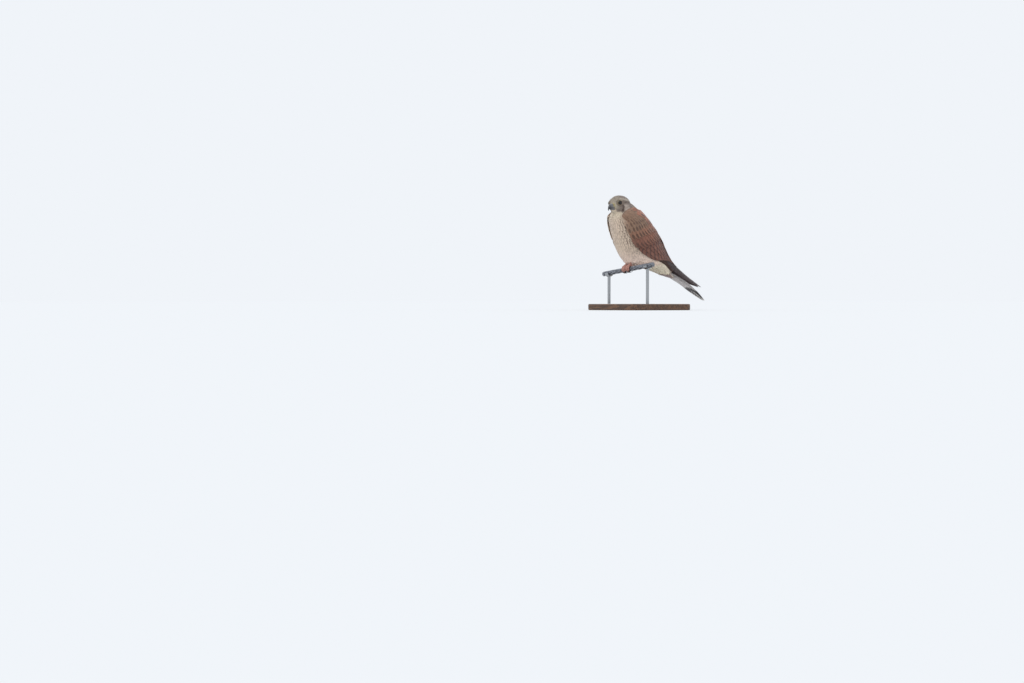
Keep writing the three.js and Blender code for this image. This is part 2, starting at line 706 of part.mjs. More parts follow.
function thighSolid(grow) {
  const ball = new THREE.SphereGeometry(1, 14, 9);
  ball.rotateX(Math.PI / 2);
  ball.scale(...THIGH.half.map((half) => half + grow));
  ball.translate(...THIGH.centre);
  return solidOf(ball);
}

function shankSolid(grow) {
  const foot = new THREE.Vector3(...TARSUS.foot);
  const top = new THREE.Vector3(...TARSUS.top);
  const along = top.clone().sub(foot).normalize();
  const across = new THREE.Vector3(1, 0, 0).projectOnPlane(along).normalize();
  const forward = along.clone().cross(across);
  const rings = [0, TARSUS.joint, 1].map((t, i) => {
    const radius = TARSUS.radius * TARSUS.swell[i] + grow;
    const centre = foot.clone().lerp(top, t).addScaledVector(along, (i - 1) * grow);
    const [wide, deep] = [across, forward].map((direction) => direction.clone().multiplyScalar(radius));
    return ovalRing(centre, wide, deep, 2, 10);
  });
  return loftOf(rings);
}

// Materials

function finish(color, roughness, metalness = 0) {
  return new THREE.MeshStandardMaterial({ color, roughness, metalness });
}

const materials = {
  head: finish("#917f72", 0.9),
  breast: finish("#b9a08c", 0.9),
  wing: finish("#86583f", 0.85),
  tail: finish("#a89a94", 0.85),
  eye: finish("#1a100c", 0.1),
  bill: finish("#4a4c55", 0.4),
  foot: finish("#c9822a", 0.6),
  claw: finish("#1c1a1c", 0.35),
  wire: finish("#7a7c82", 0.5, 0.8),
  base: finish("#6b4a33", 0.5),
  rod: finish("#b9bbbd", 0.3, 1),
};

function node(name, solid, material) {
  const mesh = new THREE.Mesh(geometryOf(solid), material);
  mesh.name = name;
  return mesh;
}

// The whole bird

const whole = joined([bodySkin(0), headSkin(0)]);
const clearance = joined([bodySkin(GAP), headSkin(GAP)]);
const aboveNeck = sideOf(NECK_TOP, GAP / 2, true);
const belowHead = sideOf(NECK_TOP, GAP / 2, false);
const aboveTorso = sideOf(NECK_FOOT, GAP / 2, true);
const belowNeck = sideOf(NECK_FOOT, GAP / 2, false);

const bird = new THREE.Group();

function headSolid() {
  let solid = joined([whole.intersect(aboveNeck), lidRing(1), lidRing(-1)]);
  for (const side of [1, -1]) {
    solid = solid.subtract(eyeBall(side, EYE.radius + GAP)).subtract(gape(side));
  }
  return largestBody(solid);
}

bird.add(node("head", headSolid(), materials.head));
bird.add(node("neck", largestBody(whole.intersect(belowHead).intersect(aboveTorso)), materials.breast));

const thighs = { left: thighSolid(0), right: mirrored(thighSolid(0)) };
const thighRoom = { left: thighSolid(GAP), right: mirrored(thighSolid(GAP)) };
const shanks = { left: shankSolid(0), right: mirrored(shankSolid(0)) };
const shankRoom = { left: shankSolid(GAP), right: mirrored(shankSolid(GAP)) };

const torso = whole
  .intersect(belowNeck)
  .subtract(thighRoom.left)
  .subtract(thighRoom.right)
  .subtract(shankRoom.left)
  .subtract(shankRoom.right);
bird.add(node("torso", largestBody(torso), materials.breast));

let upperBill = billPiece(UPPER_BILL);
for (const side of [1, -1]) {
  upperBill = upperBill.subtract(nostril(side));
}
bird.add(node("bill_upper", largestBody(upperBill), materials.bill));
bird.add(node("bill_lower", billPiece(LOWER_BILL), materials.bill));
bird.add(node("eye_left", eyeBall(1, EYE.radius), materials.eye));
bird.add(node("eye_right", eyeBall(-1, EYE.radius), materials.eye));

const leftBox = new THREE.BoxGeometry(ROOM, ROOM, ROOM);
leftBox.translate((ROOM + GAP) / 2, 0, 0);
const leftHalf = solidOf(leftBox);

const tail = largestBody(tailSolid().subtract(clearance));
const wingRoom = joined([clearance, thighSolid(GAP), tailRoom(GAP)]);
const leftWing = largestBody(wingWhole(seeded(SEED)).intersect(leftHalf).subtract(wingRoom));
bird.add(node("wing_left", leftWing, materials.wing));
bird.add(node("wing_right", mirrored(leftWing), materials.wing));
bird.add(node("tail", tail, materials.tail));

for (const name of ["left", "right"]) {
  const thigh = thighs[name].subtract(shankRoom[name]);
  bird.add(node("thigh_" + name, largestBody(thigh), materials.breast));
  bird.add(node("shank_" + name, shanks[name], materials.foot));
}

// The perch and the feet that hold it, tilted together about the wire's axis

const perch = new THREE.Group();
perch.position.set(0, 0, -WIRE_RADIUS);
perch.rotation.y = -WIRE_SLOPE;
bird.add(perch);

const wireRoom = solidOf(wireCylinder(WIRE_RADIUS + GAP, WIRE_LENGTH));
const perchTurn = new THREE.Matrix4().makeRotationY(-WIRE_SLOPE).setPosition(0, 0, -WIRE_RADIUS);
const perchUnturn = perchTurn.clone().invert();

perch.add(node("perch_wire", solidOf(wireCylinder(WIRE_RADIUS, WIRE_LENGTH)), materials.wire));
for (const [name, side] of [["left", 1], ["right", -1]]) {
  const room = solidOf(geometryOf(shankRoom[name]).applyMatrix4(perchUnturn));
  const foot = footSolid(side).subtract(wireRoom).subtract(room);
  perch.add(node("foot_" + name, largestBody(foot), materials.foot));
  FRONT_TOES.forEach((toe, i) => {
    perch.add(node("claw_" + name + "_" + (i + 1), clawSolid(side, toe), materials.claw));
  });
  perch.add(node("claw_" + name + "_hind", clawSolid(side, HIND_TOE), materials.claw));
}

bird.position.set(0, FEET_Y, WIRE_TOP);

// The stand: a flat base, and a rod up to the wire on each side of the bird

function baseGeometry() {
  const { width, depth, height, corner, bevel } = BASE_SIZE;
  const w = width / 2 - bevel;
  const d = depth / 2 - bevel;
  const shape = new THREE.Shape();
  shape.moveTo(-w + corner, -d);
  shape.lineTo(w - corner, -d);
  shape.absarc(w - corner, -d + corner, corner, -Math.PI / 2, 0, false);
  shape.lineTo(w, d - corner);
  shape.absarc(w - corner, d - corner, corner, 0, Math.PI / 2, false);
  shape.lineTo(-w + corner, d);
  shape.absarc(-w + corner, d - corner, corner, Math.PI / 2, Math.PI, false);
  shape.lineTo(-w, -d + corner);
  shape.absarc(-w + corner, -d + corner, corner, Math.PI, 1.5 * Math.PI, false);
  const solid = new THREE.ExtrudeGeometry(shape, {
    depth: height - 2 * bevel,
    bevelThickness: bevel,
    bevelSize: bevel,
    bevelSegments: 1,
    curveSegments: 5,
  });
  solid.translate(0, 0, bevel);
  return solid;
}

function standRod(side) {
  const x = side * ROD.spread;
  const axisHeight = WIRE_TOP - WIRE_RADIUS + x * Math.tan(WIRE_SLOPE);
  const bottom = BASE_SIZE.height + GAP;
  const rod = new THREE.CylinderGeometry(ROD.radius, ROD.radius, axisHeight - bottom, 20);
  rod.rotateX(Math.PI / 2);
  rod.translate(x, FEET_Y, (axisHeight + bottom) / 2);
  const outside = WIRE_RADIUS + GAP + CRADLE.wall;
  const cradle = new THREE.CylinderGeometry(outside, outside, CRADLE.length, 24);
  cradle.rotateZ(Math.PI / 2);
  cradle.rotateY(-WIRE_SLOPE);
  cradle.translate(x, FEET_Y, axisHeight);
  const openTop = new THREE.BoxGeometry(CRADLE.length + 5, 4 * outside, 3 * outside);
  openTop.translate(0, 0, 1.5 * outside);
  openTop.rotateY(-WIRE_SLOPE);
  openTop.translate(x, FEET_Y, axisHeight);
  const room = wireCylinder(WIRE_RADIUS + GAP, WIRE_LENGTH + 20);
  room.rotateY(-WIRE_SLOPE);
  room.translate(0, FEET_Y, WIRE_TOP - WIRE_RADIUS);
  return largestBody(solidOf(rod).add(solidOf(cradle)).subtract(solidOf(openTop)).subtract(solidOf(room)));
}

const model = new THREE.Group();
model.add(bird);
model.add(node("stand_base", solidOf(baseGeometry()), materials.base));
model.add(node("stand_rod_left", standRod(1), materials.rod));
model.add(node("stand_rod_right", standRod(-1), materials.rod));

export default model;
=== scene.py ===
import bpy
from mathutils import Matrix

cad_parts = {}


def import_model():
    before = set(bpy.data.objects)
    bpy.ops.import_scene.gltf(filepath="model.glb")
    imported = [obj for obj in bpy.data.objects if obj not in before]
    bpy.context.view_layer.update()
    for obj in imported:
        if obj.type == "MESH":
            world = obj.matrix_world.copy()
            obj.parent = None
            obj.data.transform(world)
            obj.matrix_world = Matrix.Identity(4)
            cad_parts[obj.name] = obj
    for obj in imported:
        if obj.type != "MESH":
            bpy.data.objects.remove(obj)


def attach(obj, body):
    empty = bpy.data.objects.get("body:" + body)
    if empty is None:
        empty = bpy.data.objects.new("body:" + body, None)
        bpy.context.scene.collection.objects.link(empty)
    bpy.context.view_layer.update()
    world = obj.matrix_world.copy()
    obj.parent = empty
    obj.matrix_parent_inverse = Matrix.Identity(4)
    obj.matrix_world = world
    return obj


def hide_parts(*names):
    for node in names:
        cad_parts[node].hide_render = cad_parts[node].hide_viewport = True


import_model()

"""A common kestrel gripping a cut length of stranded wire, on a plain display stand.

Sizes are millimetres in the bird's own frame, whose origin is the top of the wire between the feet:
x to the bird's left, y backwards and z up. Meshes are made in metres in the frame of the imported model.
"""

import logging
import math
from collections.abc import Callable
from dataclasses import dataclass, field
from enum import Enum
from itertools import product

import bpy
import numpy as np
from mathutils import Matrix, Vector
from mathutils.bvhtree import BVHTree

log = logging.getLogger("kestrel")
Array = np.ndarray
Colour = tuple[float, float, float]

MM = 0.001
WIRE_TOP = 84.0
FEET_Y = -28.0
WIRE_RADIUS = 4.7
WIRE_SLOPE = math.radians(6.4)
COAT_SEED = 7
WING_SEED = 20
CAP_SHARE = 1e-3  # the size of the last small ring of a closed end, as a share of the ring before it
BAKE_PATCH = 0.003  # the width of a feather's patch on the OFBake map
NO_FEATHERS = 99.0  # the gap that stands for a place where none grow


def srgb(red: int, green: int, blue: int) -> Colour:
    """A colour given as it looks on a screen, 0 to 255, as the linear colour that a shader takes.

    Args:
        red: The red share.
        green: The green share.
        blue: The blue share.

    Returns:
        The linear red, green and blue.
    """
    def linear(value: int) -> float:
        """One channel made linear."""
        share = value / 255
        return share / 12.92 if share <= 0.04045 else ((share + 0.055) / 1.055) ** 2.4

    return (linear(red), linear(green), linear(blue))


def smooth(value: Array, low: float, high: float) -> Array:
    """A soft step from 0 at low to 1 at high, which may be given either way round."""
    share = np.clip((np.asarray(value, float) - low) / (high - low), 0, 1)
    return share * share * (3 - 2 * share)


def along_curve(points: Array, t: Array) -> Array:
    """Points on a smooth curve through the given points.

    Args:
        points: The points that the curve passes through, one a row.
        t: Places along the curve, 0 at its start and 1 at its end.

    Returns:
        One point for each place.
    """
    points = np.asarray(points, float)
    t = np.clip(np.asarray(t, float), 0, 1)
    last = len(points) - 1
    whole = np.vstack([2 * points[0] - points[1], points, 2 * points[-1] - points[-2]])
    place = t * last
    index = np.minimum(place.astype(int), last - 1)
    w = (place - index)[..., None]
    p0, p1, p2, p3 = (whole[index + k] for k in range(4))
    t0 = 0.5 * (p2 - p0)
    t1 = 0.5 * (p3 - p1)
    return ((2 * p1 - 2 * p2 + t0 + t1) * w + (3 * (p2 - p1) - 2 * t0 - t1)) * w * w + t0 * w + p1


def unit(vectors: Array) -> Array:
    """The vectors at length 1."""
    return vectors / np.maximum(np.linalg.norm(vectors, axis=-1, keepdims=True), 1e-9)


def world(points: Array) -> Array:
    """Points of the bird's frame, in millimetres, as metres in the model's frame."""
    return (np.asarray(points, float) + (0, FEET_Y, WIRE_TOP)) * MM


def grid_faces(rows: int, columns: int, closed: bool = False) -> Array:
    """The four-sided faces between the points of a grid, whose columns may close into a ring."""
    row, column = np.meshgrid(np.arange(rows - 1), np.arange(columns if closed else columns - 1), indexing="ij")
    here = row * columns + column
    right = row * columns + (column + 1) % columns
    return np.stack([here, right, right + columns, here + columns], -1).reshape(-1, 4)


def ring_grid(places: Array, sides: int) -> tuple[Array, Array]:
    """Places along a form and angles round it, as two grids with one row for each place."""
    return np.meshgrid(places, np.linspace(0, 2 * np.pi, sides, endpoint=False), indexing="ij")


def round_section(turn: Array, power: Array) -> tuple[Array, Array]:
    """How far across and up a section reaches at each angle, squarer where the power is lower."""
    across, up = (np.sign(wave) * np.abs(wave) ** power for wave in (np.cos(turn), np.sin(turn)))
    return across, up


def mixed(first: Array, second: Array, share: Array) -> Array:
    """Two values mixed, from the first at share 0 to the second at share 1."""
    return np.asarray(first) * (1 - share) + np.asarray(second) * share


def linked(name: str, data: bpy.types.ID) -> bpy.types.Object:
    """A new object of the scene."""
    made = bpy.data.objects.new(name, data)
    bpy.context.scene.collection.objects.link(made)
    return made


def shade_smooth(mesh: bpy.types.Mesh) -> None:
    """Makes every face smooth shaded."""
    mesh.polygons.foreach_set("use_smooth", np.ones(len(mesh.polygons), bool))


def colour_layer(mesh: bpy.types.Mesh, name: str, values: Array) -> None:
    """Gives every point of a mesh its colour in a named layer."""
    colours = np.column_stack([values, np.ones(len(values))]).astype(np.float32)
    mesh.color_attributes.new(name, "FLOAT_COLOR", "POINT").data.foreach_set("color", colours.ravel())


@dataclass
class Piece:
    """A mesh being made: its points, faces, and what each point carries."""

    name: str
    points: Array
    faces: Array
    layers: dict[str, Array] = field(default_factory=dict)
    maps: dict[str, Array] = field(default_factory=dict)

    def build(self, material: bpy.types.Material) -> bpy.types.Object:
        """Makes the Blender object, with every layer as a colour attribute and every map as UVs.

        Args:
            material: The finish of the whole piece.

        Returns:
            The object, at the origin, with its place in its mesh.
        """
        mesh = bpy.data.meshes.new(self.name)
        count, sides = self.faces.shape
        mesh.vertices.add(len(self.points))
        mesh.vertices.foreach_set("co", np.ascontiguousarray(self.points, np.float32).ravel())
        mesh.loops.add(count * sides)
        mesh.loops.foreach_set("vertex_index", self.faces.astype(np.int32).ravel())
        mesh.polygons.add(count)
        mesh.polygons.foreach_set("loop_start", np.arange(0, count * sides, sides, dtype=np.int32))
        mesh.polygons.foreach_set("loop_total", np.full(count, sides, np.int32))
        mesh.update(calc_edges=True)
        for name, values in self.layers.items():
            colour_layer(mesh, name, values)
        for name, values in self.maps.items():
            uv = mesh.uv_layers.new(name=name)
            uv.data.foreach_set("uv", values[self.faces.ravel()].astype(np.float32).ravel())
        shade_smooth(mesh)
        mesh.materials.append(material)
        mesh.validate(clean_customdata=False)
        return linked(self.name, mesh)


def mirrored(piece: Piece) -> Piece:
    """The same piece on the bird's other side."""
    return Piece(piece.name, piece.points * (-1, 1, 1), piece.faces[:, ::-1], piece.layers, piece.maps)


def joined(name: str, pieces: list[Piece]) -> Piece:
    """Several pieces as one mesh."""
    starts = np.cumsum([0] + [len(p.points) for p in pieces[:-1]])
    faces = np.concatenate([p.faces + start for p, start in zip(pieces, starts)])
    layers = {key: np.concatenate([p.layers[key] for p in pieces]) for key in pieces[0].layers}
    maps = {key: np.concatenate([p.maps[key] for p in pieces]) for key in pieces[0].maps}
    return Piece(name, np.concatenate([p.points for p in pieces]), faces, layers, maps)


def capped_loft(name: str, rings: Array) -> Piece:
    """A closed skin over rings of points, each end closed by a last small ring drawn to its middle."""
    rings = np.asarray(rings, float)
    first, last = (mixed(ring, ring.mean(axis=0), 1 - CAP_SHARE)[None] for ring in (rings[0], rings[-1]))
    whole = np.concatenate([first, rings, last])
    count, sides = whole.shape[:2]
    faces = grid_faces(count, sides, closed=True)
    fan = np.array([[0, k, k + 1] for k in range(1, sides - 1)])
    points = whole.reshape(-1, 3)
    triangles = np.concatenate([faces[:, [0, 1, 2]], faces[:, [0, 2, 3]], fan[:, ::-1], fan + (count - 1) * sides])
    corners = points[triangles]
    volume = np.einsum("ij,ij->i", corners[:, 0], np.cross(corners[:, 1], corners[:, 2])).sum()
    return Piece(name, points, triangles[:, ::-1] if volume < 0 else triangles)


def ball(centre: Array, half: Array, rows: int = 16, sides: int = 24, lid: float = 0.02) -> Piece:
    """A closed ball, or an egg when its halves differ, with a small flat lid at each pole."""
    lat, lon = ring_grid(np.linspace(lid, np.pi - lid, rows), sides)
    shape = np.stack([np.sin(lat) * np.cos(lon), np.sin(lat) * np.sin(lon), np.cos(lat)], -1)
    return capped_loft("ball", shape * np.asarray(half, float) + centre)


def tube(path: Array, radii: Array, rows: int, sides: int, flatten: float = 1.0) -> Piece:
    """A closed round tube on a smooth path.

    Args:
        path: The points that it passes through.
        radii: The radius at each of them.
        rows: How many rings it has.
        sides: How many sides each ring has.
        flatten: The share of its height that it keeps.

    Returns:
        The tube.
    """
    t = np.linspace(0, 1, rows)
    middle = along_curve(path, t)
    radius = along_curve(np.asarray(radii, float)[:, None], t)[:, 0]
    ahead = unit(np.gradient(middle, axis=0))
    side = unit(np.cross(ahead, (0.3, 0.1, 1.0)))
    up = np.cross(side, ahead)
    turn = np.linspace(0, 2 * np.pi, sides, endpoint=False)
    rings = middle[:, None] + radius[:, None, None] * (
        np.cos(turn)[None, :, None] * side[:, None] + flatten * np.sin(turn)[None, :, None] * up[:, None])
    return capped_loft("tube", rings)


def apply_modifiers(piece: bpy.types.Object) -> bpy.types.Object:
    """The piece's mesh with its modifiers worked in, and the modifiers gone."""
    graph = bpy.context.evaluated_depsgraph_get()
    mesh = bpy.data.meshes.new_from_object(piece.evaluated_get(graph), depsgraph=graph)
    piece.modifiers.clear()
    piece.data = mesh
    return piece


class NodeWeb:
    """A tree of nodes, made and linked by short calls."""

    def __init__(self, tree: bpy.types.NodeTree) -> None:
        """Takes the tree that the nodes go into."""
        self.tree = tree

    def add(self, kind: str, inputs: dict | None = None, **settings: object) -> bpy.types.Node:
        """A new node.

        Args:
            kind: Its type.
            inputs: What its inputs hold or are linked to, by their names or numbers.
            **settings: Its own settings.

        Returns:
            The node.
        """
        node = self.tree.nodes.new(kind)
        for key, value in settings.items():
            setattr(node, key, value)
        for key, value in (inputs or {}).items():
            self.feed(node.inputs[key], value)
        return node

    def feed(self, socket: bpy.types.NodeSocket, value: object) -> None:
        """Sets a socket to a number or colour, or links it to another socket."""
        if isinstance(value, bpy.types.NodeSocket):
            self.tree.links.new(value, socket)
        elif isinstance(value, tuple) and len(value) == 3 and socket.type == "RGBA":
            socket.default_value = (*value, 1.0)
        else:
            socket.default_value = value

    def math(self, operation: str, *values: object, clamp: bool = False) -> bpy.types.NodeSocket:
        """The result of one sum, such as ADD or SMOOTH_MIN."""
        return self.add("ShaderNodeMath", dict(enumerate(values)), operation=operation, use_clamp=clamp).outputs[0]

    def times(self, first: object, second: object, clamp: bool = False) -> bpy.types.NodeSocket:
        """One number times another."""
        return self.math("MULTIPLY", first, second, clamp=clamp)


class ShaderWeb(NodeWeb):
    """A material round one Principled shader."""

    def __init__(self, name: str) -> None:
        """Starts a material of a name."""
        self.material = bpy.data.materials.new(name)
        self.material.use_nodes = True
        super().__init__(self.material.node_tree)
        self.shader = self.tree.nodes["Principled BSDF"]

    def surface(self, colour: object, roughness: object, others: dict[str, float] | None = None) -> None:
        """Sets the shader's colour, roughness and other inputs."""
        for name, value in {"Base Color": colour, "Roughness": roughness, **(others or {})}.items():
            self.feed(self.shader.inputs[name], value)

    def step(self, value: object, low: float, high: float) -> bpy.types.NodeSocket:
        """A soft step from 0 at low to 1 at high."""
        inputs = dict(enumerate((value, low, high, 0.0, 1.0)))
        return self.add("ShaderNodeMapRange", inputs, interpolation_type="SMOOTHSTEP").outputs[0]

    def mix(self, share: object, first: object, second: object, blend_type: str = "MIX") -> bpy.types.NodeSocket:
        """Two colours mixed by a share."""
        inputs = {0: share, 6: first, 7: second}
        return self.add("ShaderNodeMix", inputs, data_type="RGBA", blend_type=blend_type).outputs[2]

    def shaded(self, colour: object, value: object) -> bpy.types.NodeSocket:
        """A colour times a number."""
        grey = self.add("ShaderNodeCombineColor", dict.fromkeys(range(3), value)).outputs[0]
        return self.mix(1.0, colour, grey, "MULTIPLY")

    def layer(self, name: str) -> bpy.types.NodeSocket:
        """A colour layer of the piece."""
        return self.add("ShaderNodeAttribute", attribute_name=name).outputs["Color"]

    def split(self, name: str) -> bpy.types.NodeOutputs:
        """The three numbers of a colour layer of the piece."""
        return self.add("ShaderNodeSeparateColor", {0: self.layer(name)}).outputs

    def place(self) -> bpy.types.NodeSocket:
        """The place on the piece, in metres."""
        return self.add("ShaderNodeTexCoord").outputs["Object"]

    def stretched(self, scale: tuple[float, float, float]) -> bpy.types.NodeSocket:
        """The place on the piece, scaled along each axis."""
        return self.add("ShaderNodeMapping", {"Vector": self.place(), "Scale": scale}).outputs[0]

    def noise(self, scale: float, detail: float = 3.0, where: object = None) -> bpy.types.NodeSocket:
        """Soft noise of a scale, from 0 to 1."""
        inputs = {"Vector": self.place() if where is None else where, "Scale": scale, "Detail": detail}
        return self.add("ShaderNodeTexNoise", inputs).outputs["Fac"]

    def bump(self, height: object, strength: float, distance: float) -> None:
        """Raises the shading by a height."""
        bump = self.add("ShaderNodeBump", {"Strength": strength, "Distance": distance, "Height": height})
        self.feed(self.shader.inputs["Normal"], bump.outputs[0])


@dataclass(frozen=True)
class FeatherFinish:
    """Feathers: a ground colour on each, with a streak, spot or bars on it, a shaft and fine barbs."""

    name: str
    dark: Colour
    roughness: float = 0.78
    barbs: float = 26.0
    bars: float = 6.0
    spot_place: float = 0.78
    edge_wave: float = 0.22

    def make(self) -> bpy.types.Material:
        """Builds the material.

        Returns:
            The material, which reads the layers Tint and Marks and the map Vane.
        """
        web = ShaderWeb(self.name)
        vane = web.add("ShaderNodeSeparateXYZ", {0: web.add("ShaderNodeUVMap", uv_map="Vane").outputs[0]}).outputs
        across = web.math("ABSOLUTE", web.math("MULTIPLY_ADD", vane[0], 2.0, -1.0))
        along = vane[1]
        ground = web.shaded(web.layer("Tint"), web.math("MULTIPLY_ADD", web.noise(260.0), 0.3, 0.85))
        colour = web.mix(web.times(self.mask(web, across, along), 0.9), ground, self.dark)
        shaft = web.times(web.step(across, 0.07, 0.02), 0.35)
        colour = web.mix(shaft, colour, web.mix(0.5, colour, self.dark))
        slant = web.math("MULTIPLY_ADD", across, -0.45, along)
        barb = web.math("SINE", web.times(slant, self.barbs * 2 * math.pi))
        place = web.add("ShaderNodeSeparateXYZ", {0: web.place()}).outputs
        fibre_place = {0: web.times(slant, self.barbs), 1: web.times(across, 1.4), 2: web.times(place[1], 160.0)}
        fibre = web.noise(1.0, 3.0, web.add("ShaderNodeCombineXYZ", fibre_place).outputs[0])
        web.surface(web.shaded(colour, web.math("MULTIPLY_ADD", fibre, 0.6, 0.72)), self.roughness,
                    {"Specular IOR Level": 0.25, "Sheen Weight": 0.25, "Sheen Roughness": 0.5})
        web.bump(web.math("MULTIPLY_ADD", fibre, 2.0, web.times(barb, 0.4)), 0.4, 0.0003)
        return web.material

    def mask(self, web: ShaderWeb, across: object, along: object) -> bpy.types.NodeSocket:
        """How dark the streak, spot and bars make a place on the vane, from 0 to 1."""
        streaks, spots, barred = web.split("Marks")[:3]
        wave = web.times(web.math("SUBTRACT", web.noise(900.0, 2.0), 0.5), self.edge_wave)
        wavy = web.math("ADD", across, wave)
        streak = web.times(web.times(web.step(wavy, 0.34, 0.14), web.step(along, 0.99, 0.86)), streaks)
        reach = web.times(web.math("SUBTRACT", along, self.spot_place), 2.9)
        ring = web.math("SQRT", web.math("ADD", web.math("POWER", wavy, 2.0), web.math("POWER", reach, 2.0)))
        spot = web.times(web.step(ring, 0.62, 0.42), spots)
        shifted = web.math("ADD", web.times(along, self.bars), web.times(across, -0.35))
        phase = web.math("FRACT", web.math("ADD", shifted, wave))
        bars = web.times(web.times(web.step(phase, 0.56, 0.64), web.step(phase, 0.99, 0.9)), barred)
        return web.math("MAXIMUM", web.math("MAXIMUM", streak, spot), bars, clamp=True)


@dataclass(frozen=True)
class SkinFinish:
    """The skin under the coat: the coat's own ground colours, blotched by its marks."""

    name: str
    dark: Colour

    def make(self) -> bpy.types.Material:
        """Builds the material, which reads the layers Tint and Marks."""
        web = ShaderWeb(self.name)
        marks = web.split("Marks")
        heavy = web.math("ADD", marks[0], marks[1])
        blotch = web.times(web.step(web.noise(190.0, 2.0), 0.52, 0.62), heavy, clamp=True)
        web.surface(web.mix(web.times(blotch, 0.6), web.layer("Tint"), self.dark), 0.9)
        web.bump(web.noise(1500.0), 0.4, 0.0004)
        return web.material


@dataclass(frozen=True)
class HornFinish:
    """Bill and claws: smooth horn whose colour runs from root to tip by the layer Tint."""

    name: str
    roughness: float

    def make(self) -> bpy.types.Material:
        """Builds the material, which reads the layer Tint."""
        web = ShaderWeb(self.name)
        grain = web.noise(700.0, 4.0)
        shade = web.math("MULTIPLY_ADD", grain, 0.35, 0.82)
        web.surface(web.shaded(web.layer("Tint"), shade), self.roughness, {"Coat Weight": 0.25})
        web.bump(grain, 0.12, 0.0002)
        return web.material


@dataclass(frozen=True)
class FootFinish:
    """The bare skin of the feet: orange-yellow scutes with darker creases."""

    name: str
    skin: Colour
    crease: Colour

    def make(self) -> bpy.types.Material:
        """Builds the material."""
        web = ShaderWeb(self.name)
        inputs = {"Vector": web.place(), "Scale": 950.0}
        edge = web.add("ShaderNodeTexVoronoi", inputs, feature="DISTANCE_TO_EDGE").outputs["Distance"]
        patchy = web.mix(web.noise(300.0), self.skin, self.crease)
        web.surface(web.mix(web.times(web.step(edge, 0.12, 0.02), 0.6), patchy, self.crease), 0.5)
        web.bump(web.step(edge, 0.0, 0.16), 0.5, 0.0002)
        return web.material


@dataclass(frozen=True)
class EyeFinish:
    """The dark, wet eye."""

    name: str
    iris: Colour
    pupil: Colour = (0.004, 0.003, 0.003)

    def make(self) -> bpy.types.Material:
        """Builds the material."""
        web = ShaderWeb(self.name)
        web.surface(web.mix(web.noise(500.0), self.iris, self.pupil), 0.08, {"Specular IOR Level": 0.4})
        return web.material


@dataclass(frozen=True)
class WireFinish:
    """Weathered drawn metal, dull grey with darker grime."""

    name: str
    metal: Colour = srgb(136, 139, 147)
    dirt: Colour = srgb(92, 93, 98)

    def make(self) -> bpy.types.Material:
        """Builds the material."""
        web = ShaderWeb(self.name)
        grime = web.step(web.noise(160.0, 5.0), 0.4, 0.7)
        web.surface(web.mix(grime, self.metal, self.dirt), web.math("MULTIPLY_ADD", grime, 0.25, 0.42),
                    {"Metallic": 0.55})
        web.bump(web.noise(2200.0, 4.0), 0.2, 0.0002)
        return web.material


@dataclass(frozen=True)
class WoodFinish:
    """Satin walnut, its grain along the base."""

    name: str
    early: Colour = srgb(104, 72, 48)
    late: Colour = srgb(66, 44, 30)
    pore: Colour = srgb(38, 25, 18)

    def make(self) -> bpy.types.Material:
        """Builds the material."""
        web = ShaderWeb(self.name)
        place = web.stretched((5.0, 60.0, 60.0))
        pores = web.noise(14.0, 3.0, place)
        rings = web.math("FRACT", web.times(web.noise(1.6, 8.0, place), 7.0))
        colour = web.mix(web.step(rings, 0.1, 0.9), self.early, self.late)
        colour = web.mix(web.times(web.step(pores, 0.6, 0.75), 0.5), colour, self.pore)
        web.surface(colour, web.math("MULTIPLY_ADD", pores, 0.2, 0.32))
        web.bump(pores, 0.12, 0.0002)
        return web.material


@dataclass(frozen=True)
class SteelFinish:
    """Brushed steel, its marks round the rod."""

    name: str
    bright: Colour = srgb(176, 178, 180)
    dull: Colour = srgb(148, 150, 153)

    def make(self) -> bpy.types.Material:
        """Builds the material."""
        web = ShaderWeb(self.name)
        marks = web.noise(1.0, 4.0, web.stretched((30.0, 30.0, 1200.0)))
        web.surface(web.mix(marks, self.bright, self.dull), web.math("MULTIPLY_ADD", marks, 0.2, 0.24),
                    {"Metallic": 1.0})
        web.bump(marks, 0.1, 0.0001)
        return web.material


